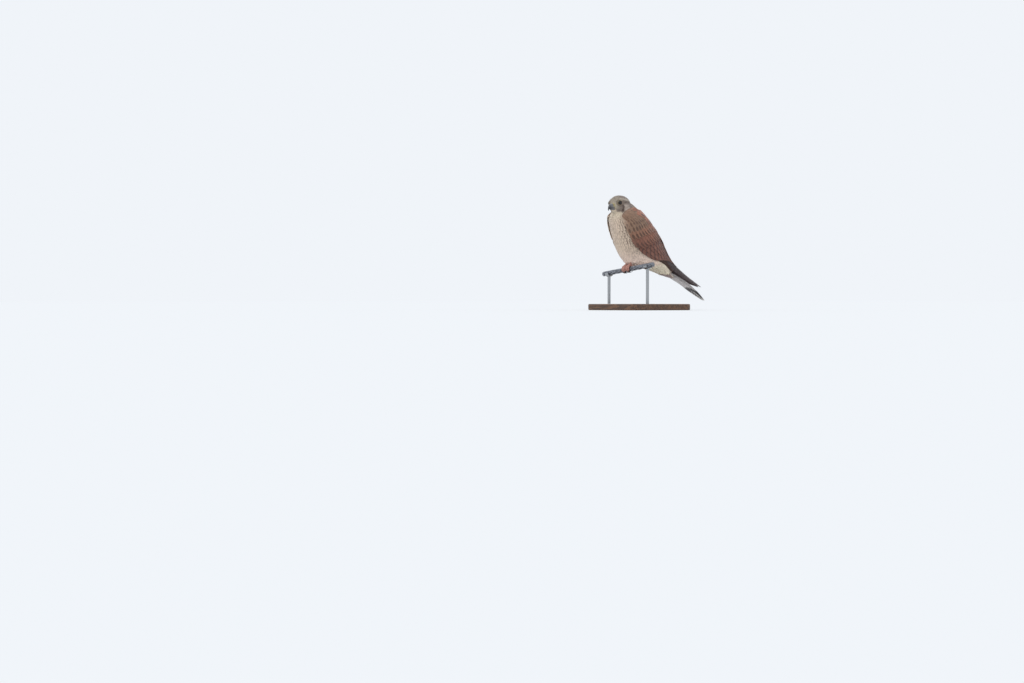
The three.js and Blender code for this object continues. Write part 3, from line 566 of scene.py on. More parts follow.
@dataclass
class BodyForm:
    """The body's form from inside the head to the root of the tail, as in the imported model."""

    belly: tuple = ((-33, 112), (-39, 102), (-41, 92), (-37.5, 78), (-29, 51), (-21, 31), (-10, 15),
                    (4, 5), (24, 0), (47, -3), (68, -9), (85, -15))
    back: tuple = ((6, 124), (16, 115), (29, 101), (44, 85), (60, 63), (74, 43), (86, 27),
                   (95, 15), (102, 6), (107, -1), (110, -6), (112.5, -10.5))
    half: tuple = ((16, 2), (22, 2.1), (29, 2.2), (33.5, 2.25), (34.5, 2.25), (33, 2.2), (30, 2.15),
                   (27, 2.1), (23, 2.1), (18.5, 2.1), (14.5, 2.1), (11.5, 2.1))

    def lines(self, t: Array) -> tuple[Array, Array, Array, Array]:
        """The belly's and the back's points, the half width and the fullness at places along the body."""
        girth = along_curve(self.half, t)
        return along_curve(self.belly, t), along_curve(self.back, t), girth[..., 0], girth[..., 1]

    def surface(self, t: Array, turn: Array, grow: float) -> Array:
        """Points on the body's skin.

        Args:
            t: Places along the body, 0 in the head to 1 at the tail.
            turn: Angles round the section, in radians, with a quarter turn at the back.
            grow: How far the skin is moved outwards.

        Returns:
            The points, in the bird's frame.
        """
        belly, back, half, full = self.lines(t)
        upward = (back - belly) / 2
        length = np.linalg.norm(upward, axis=-1)
        across, rise = round_section(turn, 2 / full)
        flat = (belly + back) / 2 + upward * (rise * (length + grow) / length)[..., None]
        return np.stack([across * (half + grow), flat[..., 0], flat[..., 1]], -1)

    def section(self, y: Array, z: Array) -> tuple[Array, Array, Array]:
        """Where a place in the plane of symmetry lies in the body.

        Args:
            y: Places backwards.
            z: Heights.

        Returns:
            The place along the body, the place from belly (-1) to back (1), and the half width there,
            which is 0 outside the outline.
        """
        def side(t: Array) -> Array:
            """Above 0 where the section at t lies behind the place."""
            belly = along_curve(self.belly, t)
            back = along_curve(self.back, t)
            reach = back - belly
            return reach[..., 0] * (z - belly[..., 1]) - reach[..., 1] * (y - belly[..., 0])

        start = np.zeros_like(y, dtype=float)
        above = start.copy()
        below = start + 1
        outside = (side(above) > 0) | (side(below) < 0)
        for _ in range(18):
            t = (above + below) / 2
            past = side(t) > 0
            below = np.where(past, t, below)
            above = np.where(past, above, t)
        belly, back, half, full = self.lines(above)
        share = 2 * (y - belly[..., 0]) / (back[..., 0] - belly[..., 0]) - 1
        width = half * np.maximum(1 - np.abs(share) ** full, 0) ** (1 / full)
        return above, share, np.where(outside, 0, width)

    def loft(self, grow: float) -> Piece:
        """The body's skin as a closed mesh."""
        return capped_loft("body_form", self.surface(*ring_grid(np.linspace(0, 1, 90), 72), grow))


@dataclass
class HeadForm:
    """The head's form in its own frame: to its left, forward to the bill, and up."""

    centre: tuple = (0.0, -22.5, 120.0)
    yaw: float = 10.0
    pitch: float = 1.0
    sections: tuple = ((-23, 2, -5, 4.5), (-20.5, 9.5, -11, 11), (-15, 14.6, -15, 16.2), (-8, 17.8, -17.5, 18.8),
                       (0, 18.8, -18.5, 19.6), (7, 17.9, -18, 18.8), (12.5, 14.8, -16, 15.9),
                       (16.6, 9.6, -13.4, 11), (19.7, 3.3, -10.9, 5.9))
    eye: tuple = (11.1, 12.2, 3.2)
    eye_radius: float = 5.4
    gaze: tuple = (8.6, 4.6, 1.0)
    fullness: float = 2.1
    egg_centre: tuple = (0, -1, 0)
    egg_half: tuple = (20.5, 25, 20.5)

    def matrix(self) -> Array:
        """The turn from the head's frame to the bird's."""
        turn = Matrix.Rotation(math.radians(self.yaw), 3, "Z") @ Matrix.Rotation(math.radians(self.pitch), 3, "X")
        return np.array(turn)

    def place(self, points: Array) -> Array:
        """Points given as left, forward and up of the head, in the bird's frame."""
        points = np.asarray(points, float) * (1, -1, 1)
        return points @ self.matrix().T + self.centre

    def local(self, points: Array) -> Array:
        """Points of the bird's frame as left, forward and up of the head."""
        return ((np.asarray(points, float) - self.centre) @ self.matrix()) * (1, -1, 1)

    def loft(self, grow: float) -> Piece:
        """The head's skin as a closed mesh."""
        t, turn = ring_grid(np.linspace(0, 1, 60), 60)
        forward, top, bottom, half = np.moveaxis(along_curve(self.sections, t), -1, 0)
        across, rise = round_section(turn, 2 / self.fullness)
        up = (top + bottom) / 2 + rise * ((top - bottom) / 2 + grow)
        return capped_loft("head_form", self.place(np.stack([across * (half + grow), forward, up], -1)))

    def look(self, side: int) -> Array:
        """The direction that an eye looks in, in the bird's frame."""
        return unit(np.array(self.gaze) * (side, -1, 1) @ self.matrix().T)

    def eye_place(self, side: int) -> Array:
        """The middle of an eye, in the bird's frame."""
        return self.place(np.array(self.eye) * (side, 1, 1))

    def reach(self, points: Array) -> Array:
        """How far places lie from the middle of the egg that holds the head: 1 is on it."""
        return np.linalg.norm((self.local(points) - self.egg_centre) / self.egg_half, axis=1)


@dataclass
class WingForm:
    """The folded left wing's outer surface, from its lower edge to its upper edge and wrist to tip."""

    body: BodyForm
    lift: float = 4.6
    low: tuple = ((17, -33, 93), (19, -32, 80), (21, -26, 61), (24.5, -15, 42), (28, 5, 23),
                  (26.5, 38, 12), (21.5, 72, 2.5), (17, 106, -14), (13, 146, -28), (8.5, 185, -37.5))
    mid: tuple = ((27, -18, 103), (35, 2, 93), (38.5, 14, 77), (40, 28, 63), (39, 43, 50),
                  (32, 66, 32), (23.5, 88, 14), (15, 117, -4), (11, 151, -21.5), (7.5, 188, -37))
    top: tuple = ((16, 0, 112), (13, 21, 105.5), (10, 38, 94), (8, 54, 80), (6, 67, 64),
                  (4.5, 80, 47), (3.5, 99, 24), (3, 124, 3), (4.5, 157, -17), (6.5, 191, -36.5))

    def point(self, u: Array, v: Array) -> Array:
        """Points on the wing: u along it from wrist to tip, v across it from low to high."""
        u, v = np.broadcast_arrays(np.asarray(u, float), np.asarray(v, float))
        low, mid, top = (along_curve(line, u) for line in (self.low, self.mid, self.top))
        w = v[..., None]
        found = low * 2 * (w - 0.5) * (w - 1) + mid * 4 * w * (1 - w) + top * 2 * w * (w - 0.5)
        half = self.body.section(found[..., 1], found[..., 2])[2]
        found[..., 0] = np.maximum(found[..., 0], half + self.lift * smooth(v, -0.25, 0.3))
        return found

    def normal(self, u: Array, v: Array) -> Array:
        """The directions straight out of the wing."""
        step = 0.01
        along = self.point(np.minimum(u + step, 1), v) - self.point(np.maximum(u - step, 0), v)
        across = self.point(u, v + step) - self.point(u, v - step)
        return unit(np.cross(along, across))


@dataclass
class TailForm:
    """The tail's middle line and its shallow roof."""

    line: tuple = ((86, -9), (104, -14.5), (122, -22), (148, -34.5), (170, -49), (198, -68.5))
    half: float = 12.5
    height: float = 2.2
    step: float = 0.01

    def rise(self, across: Array) -> Array:
        """How high the roof stands at a place across."""
        return self.height * (1 - (across / self.half) ** 2)

    def frame_at(self, u: Array) -> tuple[Array, Array]:
        """The middle line's points and upward directions, as y and z."""
        after, before = np.minimum(u + self.step, 1), np.maximum(u - self.step, 0)
        ahead = unit(along_curve(self.line, after) - along_curve(self.line, before))
        return along_curve(self.line, u), np.stack([-ahead[..., 1], ahead[..., 0]], -1)


BODY = BodyForm()
HEAD = HeadForm()
WING = WingForm(BODY)
TAIL = TailForm()


class Hue(Enum):
    """The plumage's ground colours."""

    CROWN = srgb(138, 124, 114)
    FOREHEAD = srgb(152, 141, 126)
    BROW = srgb(178, 166, 152)
    EYE_LINE = srgb(98, 83, 72)
    MOUSTACHE = srgb(92, 76, 68)
    CHEEK = srgb(192, 177, 164)
    EAR = srgb(142, 127, 118)
    LORE = srgb(156, 146, 130)
    THROAT = srgb(205, 190, 168)
    NAPE = srgb(148, 128, 106)
    BREAST = srgb(206, 186, 166)
    BELLY = srgb(240, 215, 198)
    VENT = srgb(246, 236, 210)
    MANTLE = srgb(172, 110, 86)
    RUMP = srgb(158, 138, 134)
    COVERT = srgb(142, 94, 74)
    FRONT_COVERT = srgb(136, 108, 89)
    SCAPULAR = srgb(152, 99, 79)
    SECONDARY = srgb(130, 88, 74)
    PRIMARY = srgb(80, 67, 67)
    TAIL_GREY = srgb(208, 202, 200)
    BAND = srgb(48, 42, 44)
    TAIL_TIP = srgb(216, 210, 204)
    DARK = srgb(72, 52, 44)

    @property
    def colour(self) -> Array:
        """The linear colour."""
        return np.array(self.value)


def blend(ground: Array, hue: Hue, share: Array) -> Array:
    """A ground of colours moved towards a hue by a share for each."""
    return mixed(ground, hue.colour, share[:, None])


@dataclass(frozen=True)
class Patch:
    """A patch of one hue: how strong it is, and the soft steps over named measures that bound it."""

    hue: Hue
    strength: float
    steps: dict[str, tuple[float, float]]

    def share(self, measures: dict[str, Array]) -> Array:
        """How far the hue covers each place."""
        shares = [smooth(measures[name], low, high) for name, (low, high) in self.steps.items()]
        return self.strength * np.prod(shares, axis=0)


# Measures of the head: side, forward and up of its middle, the distances from the lines of the brow, of the
# eye and of the moustache, and the distance from the eye.
HEAD_PATCHES = (
    Patch(Hue.NAPE, 1, {"forward": (-8, -18), "up": (12, 4)}),
    Patch(Hue.FOREHEAD, 1, {"forward": (7, 15), "up": (-2, 5)}),
    Patch(Hue.EAR, 1, {"up": (5, 1), "forward": (6, 0)}),
    Patch(Hue.CHEEK, 1, {"up": (2, -1.5), "low": (-17, -13), "forward": (9, 6), "rear": (-9, -3)}),
    Patch(Hue.THROAT, 1, {"up": (-11, -15), "forward": (-6, 2)}),
    Patch(Hue.THROAT, 1, {"side": (7, 4), "up": (-7, -10), "forward": (6, 12)}),
    Patch(Hue.BROW, 1, {"off_brow": (2.6, 1.2), "side": (8, 11), "rear": (-17, -12), "forward": (18, 13)}),
    Patch(Hue.EYE_LINE, 0.8, {"off_eye_line": (2.6, 1.3), "side": (5, 9), "forward": (9, 5), "rear": (-17, -9)}),
    Patch(Hue.LORE, 1, {"forward": (14.5, 17), "low": (-8, -5), "up": (5, 2)}),
    Patch(Hue.MOUSTACHE, 0.92, {"off_moustache": (3.0, 1.5), "up": (1, -2), "low": (-18, -13), "side": (5.5, 8)}),
    Patch(Hue.EYE_LINE, 0.7, {"from_eye": (7.8, 6.2), "up": (9, 6)}),
)
# Measures of the body: the place along it, the place from belly to back, and the height.
BODY_PATCHES = (
    Patch(Hue.THROAT, 1, {"height": (92, 104), "back": (0.1, -0.5)}),
    Patch(Hue.BELLY, 1, {"along": (0.38, 0.55), "back": (0.4, -0.3)}),
    Patch(Hue.VENT, 1, {"along": (0.6, 0.72), "back": (0.6, 0.2)}),
    Patch(Hue.NAPE, 1, {"back": (0.15, 0.5), "along": (0.3, 0.16)}),
    Patch(Hue.MANTLE, 1, {"back": (0.42, 0.68), "along": (0.14, 0.22)}),
    Patch(Hue.RUMP, 1, {"back": (0.3, 0.6), "along": (0.6, 0.75)}),
)


class Plumage:
    """The markings of the body and head, asked for by place, so that skin and coat agree."""

    @staticmethod
    def head(points: Array) -> tuple[Array, Array]:
        """The head's ground colours and marks.

        Args:
            points: Places in the bird's frame.

        Returns:
            The colours, and the strengths of streak, spot and bars.
        """
        side, forward, up = HEAD.local(points).T
        side = np.abs(side)
        measures = {"side": side, "forward": forward, "rear": forward, "up": up, "low": up,
                    "off_brow": np.abs(up - 9.6 - 0.05 * forward), "off_eye_line": np.abs(up - 4.6),
                    "off_moustache": np.abs(forward - 8.6 - 0.14 * (up + 4)),
                    "from_eye": np.linalg.norm(np.stack([side, forward, up], -1) - HEAD.eye, axis=1)}
        tint = np.tile(Hue.CROWN.colour, (len(side), 1))
        marks = np.zeros((len(side), 3))
        marks[:, 0] = 0.5 * smooth(up, 5, 12)
        for patch in HEAD_PATCHES:
            share = patch.share(measures)
            tint = blend(tint, patch.hue, share)
            if patch.hue is Hue.MOUSTACHE:
                marks[:, 0] *= 1 - share / patch.strength
        marks[:, 0] += 0.35 * smooth(forward, -8, -16)
        return tint, np.clip(marks, 0, 1)

    @staticmethod
    def body(points: Array) -> tuple[Array, Array]:
        """The body's ground colours and marks, as for the head."""
        x, y, z = points.T
        t, back, _ = BODY.section(y, z)
        back = np.clip(back, -1, 1)
        tint = np.tile(Hue.BREAST.colour, (len(x), 1))
        for patch in BODY_PATCHES:
            tint = blend(tint, patch.hue, patch.share({"along": t, "back": back, "height": z}))
        below = smooth(back, 0.5, 0.2)
        flank = smooth(np.abs(x), 8, 24)
        breast_streaks = below * smooth(t, 0.08, 0.16) * smooth(t, 0.46, 0.34) * (0.45 + 0.6 * flank)
        nape_streaks = 0.25 * smooth(back, 0.2, 0.5) * smooth(t, 0.26, 0.14)
        flank_spots = 0.45 * below * smooth(t, 0.32, 0.4) * smooth(t, 0.54, 0.43) * flank
        back_spots = smooth(back, 0.42, 0.6) * smooth(t, 0.13, 0.2) * smooth(t, 0.75, 0.65)
        marks = np.stack([breast_streaks + nape_streaks, flank_spots + back_spots, np.zeros(len(x))], -1)
        return tint, np.clip(marks, 0, 1)

    @classmethod
    def at(cls, points: Array) -> tuple[Array, Array]:
        """The ground colours and marks anywhere on head and body."""
        share = smooth(HEAD.reach(points), 1.16, 1.0)[:, None]
        tint, marks = (mixed(on_body, on_head, share) for on_body, on_head in zip(cls.body(points), cls.head(points)))
        return tint, marks


@dataclass(frozen=True)
class VanePattern:
    """A feather's blade as a grid of places across (-1 to 1) and along (0 to 1), with a frayed tip."""

    rows: tuple[float, ...]
    columns: tuple[float, ...]
    fray: float = 0.0
    point: float = 2.2
    base: float = 0.35
    waist: float = 0.384
    closes: float = 0.62
    close_reach: float = 0.405
    bow: float = 0.16
    frays_from: float = 0.72

    def grid(self) -> tuple[Array, Array]:
        """The places across and along of every point of the upper face."""
        s, a = np.meshgrid(np.array(self.rows, float), np.array(self.columns), indexing="ij")
        late = smooth(s, self.frays_from, 1.0)
        teeth = np.arange(len(self.columns)) % 2 == 0
        s -= self.fray * late * teeth * (np.abs(a) > 0.02) + self.bow * late * a ** 2
        return a.ravel(), s.ravel()

    def width(self, s: Array) -> Array:
        """The blade's width at places along it, as a share of its widest."""
        opening = mixed(self.base, 1, smooth(s, 0, self.waist))
        closing = 1 - (np.maximum(s - self.closes, 0) / self.close_reach) ** self.point
        return opening * np.maximum(closing, 0.02) ** 0.5

    def shell(self) -> Array:
        """The faces of a closed blade: the upper face's points come first, then the lower face's."""
        rows, columns = len(self.rows), len(self.columns)
        top = grid_faces(rows, columns)
        index = np.arange(rows * columns).reshape(rows, columns)
        rim = np.concatenate([index[0], index[1:, -1], index[-1, -2::-1], index[-2:0:-1, 0]])
        ahead = np.roll(rim, -1)
        wall = np.stack([ahead, rim, rim + index.size, ahead + index.size], -1)
        return np.concatenate([top, top[:, ::-1] + index.size, wall])


def even(count: int) -> tuple[float, ...]:
    """Places from 0 to 1, evenly spaced."""
    return tuple(np.linspace(0, 1, count))


def both(count: int) -> tuple[float, ...]:
    """Places from -1 to 1, evenly spaced."""
    return tuple(np.linspace(-1, 1, count))


CONTOUR = VanePattern((0, 0.28, 0.55, 0.75, 0.87, 0.95, 1.0), both(7), fray=0.02)
FINE = VanePattern((0, 0.4, 0.7, 0.88, 1.0), both(5), fray=0.03)
COVERT = VanePattern((0, 0.15, 0.3, 0.45, 0.6, 0.74, 0.85, 0.94, 1.0),
                     (-1, -0.7, -0.35, -0.06, 0, 0.06, 0.35, 0.7, 1), fray=0.02, point=2.4, base=0.5)
QUILL = VanePattern(even(22), (-1, -0.75, -0.5, -0.25, -0.05, 0, 0.05, 0.25, 0.5, 0.75, 1), fray=0.004,
                    point=2.6, base=0.3, waist=0.24)


def feathers_piece(name: str, pattern: VanePattern, top: Array, out: Array, thick: float,
                   tint: Array, marks: Array, homes: Array) -> Piece:
    """Joins many feathers of one pattern into a piece of closed blades.

    Args:
        name: The piece's name.
        pattern: The pattern that every feather has.
        top: Points of the upper faces, by feather, point and axis, in the bird's frame.
        out: The directions out of the upper faces, of the same shape.
        thick: The blades' thickness.
        tint: Ground colours, by feather and point.
        marks: Mark strengths, by feather and point.
        homes: Each feather's root on the unwrap of what it grows on.

    Returns:
        The piece, in metres.
    """
    count, size = top.shape[:2]
    across, along = pattern.grid()
    points = np.concatenate([top, top - out * thick], axis=1)
    shell = pattern.shell()
    faces = (shell[None] + (np.arange(count) * 2 * size)[:, None, None]).reshape(-1, 4)
    local = np.stack([across * 0.5 + 0.5, along], -1)
    local = np.concatenate([local, local])
    vane = np.tile(local, (count, 1))
    bake = mixed(homes[:, None, :], local[None], BAKE_PATCH).reshape(-1, 2)
    layers = {
        "Tint": np.concatenate([tint, tint], axis=1).reshape(-1, 3),
        "Marks": np.concatenate([marks, marks], axis=1).reshape(-1, 3),
    }
    return Piece(name, world(points.reshape(-1, 3)), faces, layers, {"OFBake": bake, "Vane": vane})


@dataclass
class Skin:
    """The one skin of head, neck, body and thighs, a coat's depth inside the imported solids."""

    depth: float = 1.5
    head_depth: float = 0.9
    socket: float = 6.6
    socket_back: float = 2.2
    voxel: float = 1.3
    soften: tuple = (0.6, 9)
    thigh_centre: tuple = (12.5, 12.0, 20.0)
    thigh_half: tuple = (11.0, 15.0, 16.0)
    tree: BVHTree | None = None
    corners: Array | None = None

    def thigh(self, side: int) -> Piece:
        """A feathered thigh, set in the belly."""
        return ball(np.array(self.thigh_centre) * (side, 1, 1), np.array(self.thigh_half) - self.depth, 24, 32, 0.05)

    def socket_ball(self, side: int) -> Piece:
        """The swelling that an eye sits in."""
        return ball(HEAD.eye_place(side) - HEAD.look(side) * self.socket_back, (self.socket,) * 3, 24, 36)

    def build(self, material: bpy.types.Material) -> bpy.types.Object:
        """Fuses the forms, smooths them and colours the skin.

        Args:
            material: The skin's finish.

        Returns:
            The skin, ready to ride.
        """
        forms = [BODY.loft(-self.depth), HEAD.loft(-self.head_depth), self.thigh(1), self.thigh(-1)]
        whole = joined("skin", forms + [self.socket_ball(1), self.socket_ball(-1)])
        whole.points = world(whole.points)
        skin = whole.build(material)
        remesh = skin.modifiers.new("fuse", "REMESH")
        remesh.mode = "VOXEL"
        remesh.voxel_size = self.voxel * MM
        soften = skin.modifiers.new("soften", "SMOOTH")
        soften.factor, soften.iterations = self.soften
        apply_modifiers(skin)
        mesh = skin.data
        shade_smooth(mesh)
        points = np.empty(len(mesh.vertices) * 3, np.float32)
        mesh.vertices.foreach_get("co", points)
        places = points.reshape(-1, 3).astype(float) / MM - (0, FEET_Y, WIRE_TOP)
        for name, values in zip(("Tint", "Marks"), Plumage.at(places)):
            colour_layer(mesh, name, values)
        mesh.calc_loop_triangles()
        triangles = np.empty(len(mesh.loop_triangles) * 3, np.int32)
        mesh.loop_triangles.foreach_get("vertices", triangles)
        self.corners = places[triangles.reshape(-1, 3)]
        self.tree = BVHTree.FromPolygons(places.tolist(), triangles.reshape(-1, 3).tolist())
        return skin

    def nearest(self, points: Array) -> tuple[Array, Array]:
        """The skin's nearest points and the directions out of it there."""
        found = [self.tree.find_nearest(Vector(point))[:2] for point in points]
        return np.array([place for place, _ in found], float), np.array([normal for _, normal in found], float)

    def scatter(self, random: np.random.Generator, spacing: Callable[[Array], Array], tries: int) -> Array:
        """Roots spread over the skin, no two nearer than a spacing that changes from place to place.

        Args:
            random: The seeded source of chance.
            spacing: A function of places that gives the spacing there.
            tries: How many places are tried.

        Returns:
            The roots.
        """
        a, b, c = (self.corners[:, k] for k in range(3))
        areas = np.linalg.norm(np.cross(b - a, c - a), axis=1)
        pick = random.choice(len(areas), tries, p=areas / areas.sum())
        r1 = np.sqrt(random.random(tries))[:, None]
        r2 = random.random(tries)[:, None]
        places = a[pick] * (1 - r1) + b[pick] * r1 * (1 - r2) + c[pick] * r1 * r2
        gaps = spacing(places)
        keys = np.floor(places / gaps.max()).astype(int)
        taken: dict[tuple[int, int, int], list[int]] = {}
        keep = []
        for i in np.nonzero(gaps < NO_FEATHERS)[0]:
            around = product(*((k - 1, k, k + 1) for k in keys[i]))
            near = [j for key in around for j in taken.get(key, ())]
            if near and (np.sum((places[near] - places[i]) ** 2, axis=1) < gaps[i] ** 2).any():
                continue
            taken.setdefault(tuple(keys[i]), []).append(int(i))
            keep.append(i)
        return places[keep]


def inside(polygon: Array, y: Array, z: Array) -> Array:
    """Whether places lie in an outline in the plane of symmetry."""
    found = np.zeros(len(y), bool)
    for (y0, z0), (y1, z1) in zip(polygon, np.roll(polygon, -1, axis=0)):
        crosses = (z0 > z) != (z1 > z)
        with np.errstate(divide="ignore", invalid="ignore"):
            at = y0 + (z - z0) * (y1 - y0) / (z1 - z0)
        found ^= crosses & (y < at)
    return found


def unwrap(points: Array) -> Array:
    """Places of head and body on an unwrap of their own forms, from 0 to 1 each way."""
    x, y, z = points.T
    t, share, _ = BODY.section(y, z)
    round_body = np.arctan2(share, x / BODY.lines(t)[2]) / (2 * np.pi) % 1
    side, forward, up = HEAD.local(points).T
    round_head = np.arctan2(up, side) / (2 * np.pi) % 1
    body = np.stack([0.52 + 0.46 * round_body, t], -1)
    head = np.stack([0.02 + 0.46 * round_head, (forward + 24) / 50], -1)
    return np.clip(np.where(HEAD.reach(points)[:, None] < 1.08, head, body), 0, 1)


@dataclass
class Coat:
    """The small feathers of head, neck, body and thighs, laid on the skin along the lie of the coat."""

    skin: Skin
    tries: int = 70000
    spread: float = 0.335
    ruffle: float = 0.07
    tilt: float = 0.12
    sunk: float = 0.25
    crown: float = 0.16
    thick: float = 0.1

    @staticmethod
    def head_share(points: Array) -> Array:
        """How far places belong to the head, from 0 on the body to 1 on the head."""
        return smooth(HEAD.reach(points), 1.25, 0.95)

    @staticmethod
    def brow_share(points: Array) -> Array:
        """How far places belong to the ridge over the eyes."""
        x, f, u = HEAD.local(points).T
        return smooth(np.abs(u - 8.4), 2.4, 0.8) * smooth(f, 3, 7) * smooth(f, 19, 15) * smooth(np.abs(x), 5, 8)

    def length(self, points: Array) -> Array:
        """The feathers' length from place to place."""
        _, f, u = HEAD.local(points).T
        t = BODY.section(points[:, 1], points[:, 2])[0]
        head = 2.7 + 1.2 * smooth(f, 8, -6) + 1.7 * smooth(f, -8, -19) + 0.8 * smooth(u, 6, 14)
        body = 6.5 + 4.5 * smooth(t, 0.04, 0.26) + 2.0 * smooth(t, 0.5, 0.7)
        share = self.head_share(points)
        return head * share + body * (1 - share)

    def gaps(self, points: Array) -> Array:
        """How far apart the roots stand from place to place, and NO_FEATHERS where none grow."""
        u = np.linspace(0.02, 1, 40)
        outline = np.vstack([WING.point(u, 0.1)[:, 1:], WING.point(u, 0.86)[::-1, 1:]])
        bare = inside(outline, points[:, 1], points[:, 2]) & (self.head_share(points) < 0.3)
        for side in (1, -1):
            look = HEAD.look(side)
            away = points - HEAD.eye_place(side)
            ahead = away @ look
            apart = np.linalg.norm(away - ahead[:, None] * look, axis=1)
            bare |= (apart < HEAD.eye_radius - 0.2) & (ahead > 0)
        x, f, u = HEAD.local(points).T
        bare |= (f > 17.4) & (np.abs(x) < 7) & (u < 3.6)
        bare |= BODY.section(points[:, 1], points[:, 2])[0] > 0.985
        return np.where(bare, NO_FEATHERS, self.length(points) * self.spread)

    def lie(self, points: Array, out: Array) -> Array:
        """The direction that feathers lie in, along the skin."""
        x, y, z = points.T
        t, share, _ = BODY.section(y, z)
        step = 0.01
        t = np.clip(t, 0, 1 - step)
        share = np.clip(share, -1, 1)[:, None]
        belly, back, half, _ = BODY.lines(t)
        belly2, back2, half2, _ = BODY.lines(t + step)
        flat = (belly2 + back2 - belly - back) / 2 + (back2 - belly2 - back + belly) / 2 * share
        body = unit(np.column_stack([x * (half2 / half - 1), flat]))
        leg = smooth(z, 16, 8) * smooth(np.abs(x), 27, 20)
        body = unit(mixed(body, (0, 0.35, -1), leg[:, None]))
        side, forward, up = HEAD.local(points).T
        outward = 0.25 * np.sign(side) * smooth(np.abs(side), 2, 8) * smooth(forward, 8, 16)
        down = 0.15 + 0.55 * smooth(up, 4, -10) + 0.7 * smooth(forward, -8, -20)
        head = unit(np.stack([outward, np.ones_like(down), -down], -1) @ HEAD.matrix().T)
        whole = mixed(body, head, self.head_share(points)[:, None])
        return unit(whole - np.sum(whole * out, axis=1, keepdims=True) * out)

    def grow(self, name: str, pattern: VanePattern, roots: Array, random: np.random.Generator) -> Piece:
        """Grows one piece of the coat.

        Args:
            name: The piece's name.
            pattern: The feathers' pattern.
            roots: The feathers' roots on the skin.
            random: The seeded source of chance.

        Returns:
            The piece.
        """
        count = len(roots)
        length = self.length(roots) * random.uniform(0.9, 1.12, count)
        share = self.head_share(roots)
        half = length * (0.34 - 0.03 * share) * random.uniform(0.9, 1.1, count)
        top_height = (1.3 - 0.75 * share + 0.9 * self.brow_share(roots)) * random.uniform(0.82, 1.08, count)
        rows = np.array(pattern.rows)
        centre, out = self.skin.nearest(roots)
        ahead = self.lie(centre, out)
        ahead = unit(ahead + np.cross(out, ahead) * random.normal(0, self.ruffle, count)[:, None])
        middles, rights, lefts, aheads = [], [], [], []
        for i, s in enumerate(rows):
            if i:
                centre, out = self.skin.nearest(centre + ahead * ((s - rows[i - 1]) * length)[:, None])
                ahead = unit(ahead - np.sum(ahead * out, axis=1, keepdims=True) * out)
            side = np.cross(ahead, out) * (half * pattern.width(np.array(s)))[:, None]
            middles.append((centre, out))
            rights.append(self.skin.nearest(centre + side))
            lefts.append(self.skin.nearest(centre - side))
            aheads.append(ahead)
        a, s = pattern.grid()
        row = np.repeat(np.arange(len(rows)), len(pattern.columns))
        a3 = a[None, :, None]
        weights = (1 - a3 ** 2, (a3 ** 2 + a3) / 2, (a3 ** 2 - a3) / 2)
        surface, up = (sum(weight * np.stack([pair[k] for pair in pairs], 1)[:, row]
                           for weight, pairs in zip(weights, (middles, rights, lefts))) for k in (0, 1))
        up = unit(up)
        late = np.clip(s, 0, 1)[None]
        offset = np.stack(aheads, 1)[:, row] * ((s - rows[row])[None] * length[:, None])[..., None]
        height = (top_height[:, None] + self.sunk) * late ** 0.8 - self.sunk - self.crown * a[None] ** 2
        tilt = random.normal(0, self.tilt, count)[:, None] * a[None]
        top = surface + offset + up * (height + tilt)[..., None]
        tint, marks = Plumage.at(roots)
        # Painted shade: each feather is darkened towards its root, where the feathers above cover it, on top of a
        # random tone for each feather, and it is slightly paler towards its sides.
        shade = random.uniform(0.9, 1.1, count)[:, None] * (0.82 + 0.2 * late + 0.06 * a[None] ** 2)
        tints = np.clip(tint[:, None, :] * shade[..., None], 0, 1)
        strength = marks[:, None, :] * random.uniform(0.75, 1.1, (count, 1, 1))
        marks = np.clip(np.repeat(strength, len(a), axis=1), 0, 1)
        return feathers_piece(name, pattern, top, up, self.thick, tints, marks, unwrap(roots))

    def build(self, finish: bpy.types.Material, random: np.random.Generator) -> list[bpy.types.Object]:
        """Grows the whole coat, in pieces by region.

        Args:
            finish: The feathers' finish.
            random: The seeded source of chance.

        Returns:
            The pieces.
        """
        roots = self.skin.scatter(random, self.gaps, self.tries)
        on_head = self.head_share(roots) > 0.5
        forward = HEAD.local(roots)[:, 1] > 0
        share = BODY.section(roots[:, 1], roots[:, 2])[1]
        high = roots[:, 2] > 60
        regions = {
            "face_feathers": on_head & forward,
            "crown_feathers": on_head & ~forward,
            "breast_feathers": ~on_head & (share < 0.35) & high,
            "belly_feathers": ~on_head & (share < 0.35) & ~high,
            "back_feathers": ~on_head & (share >= 0.35),
        }
        pieces = []
        for name, chosen in regions.items():
            pattern = FINE if name in ("face_feathers", "crown_feathers") else CONTOUR
            piece = self.grow(name, pattern, roots[chosen], random).build(finish)
            log.info("%s: %d feathers, %d faces", name, chosen.sum(), len(piece.data.polygons))
            pieces.append(piece)
        return pieces


@dataclass(frozen=True)
class Tier:
    """A row of wing feathers: where the first and the last root and end, and what all are like."""

    count: int
    roots: tuple[tuple[float, float], tuple[float, float]]
    tips: tuple[tuple[float, float], tuple[float, float]]
    half: tuple[float, float]
    high: tuple[float, float]
    pattern: VanePattern
    hues: tuple[Hue, Hue]
    marks: tuple[float, float, float]
    sunk: float = 2.4
    lean: float = 6.0
    webs: tuple[float, float] = (1.0, 1.0)
    jitter: float = 0.006


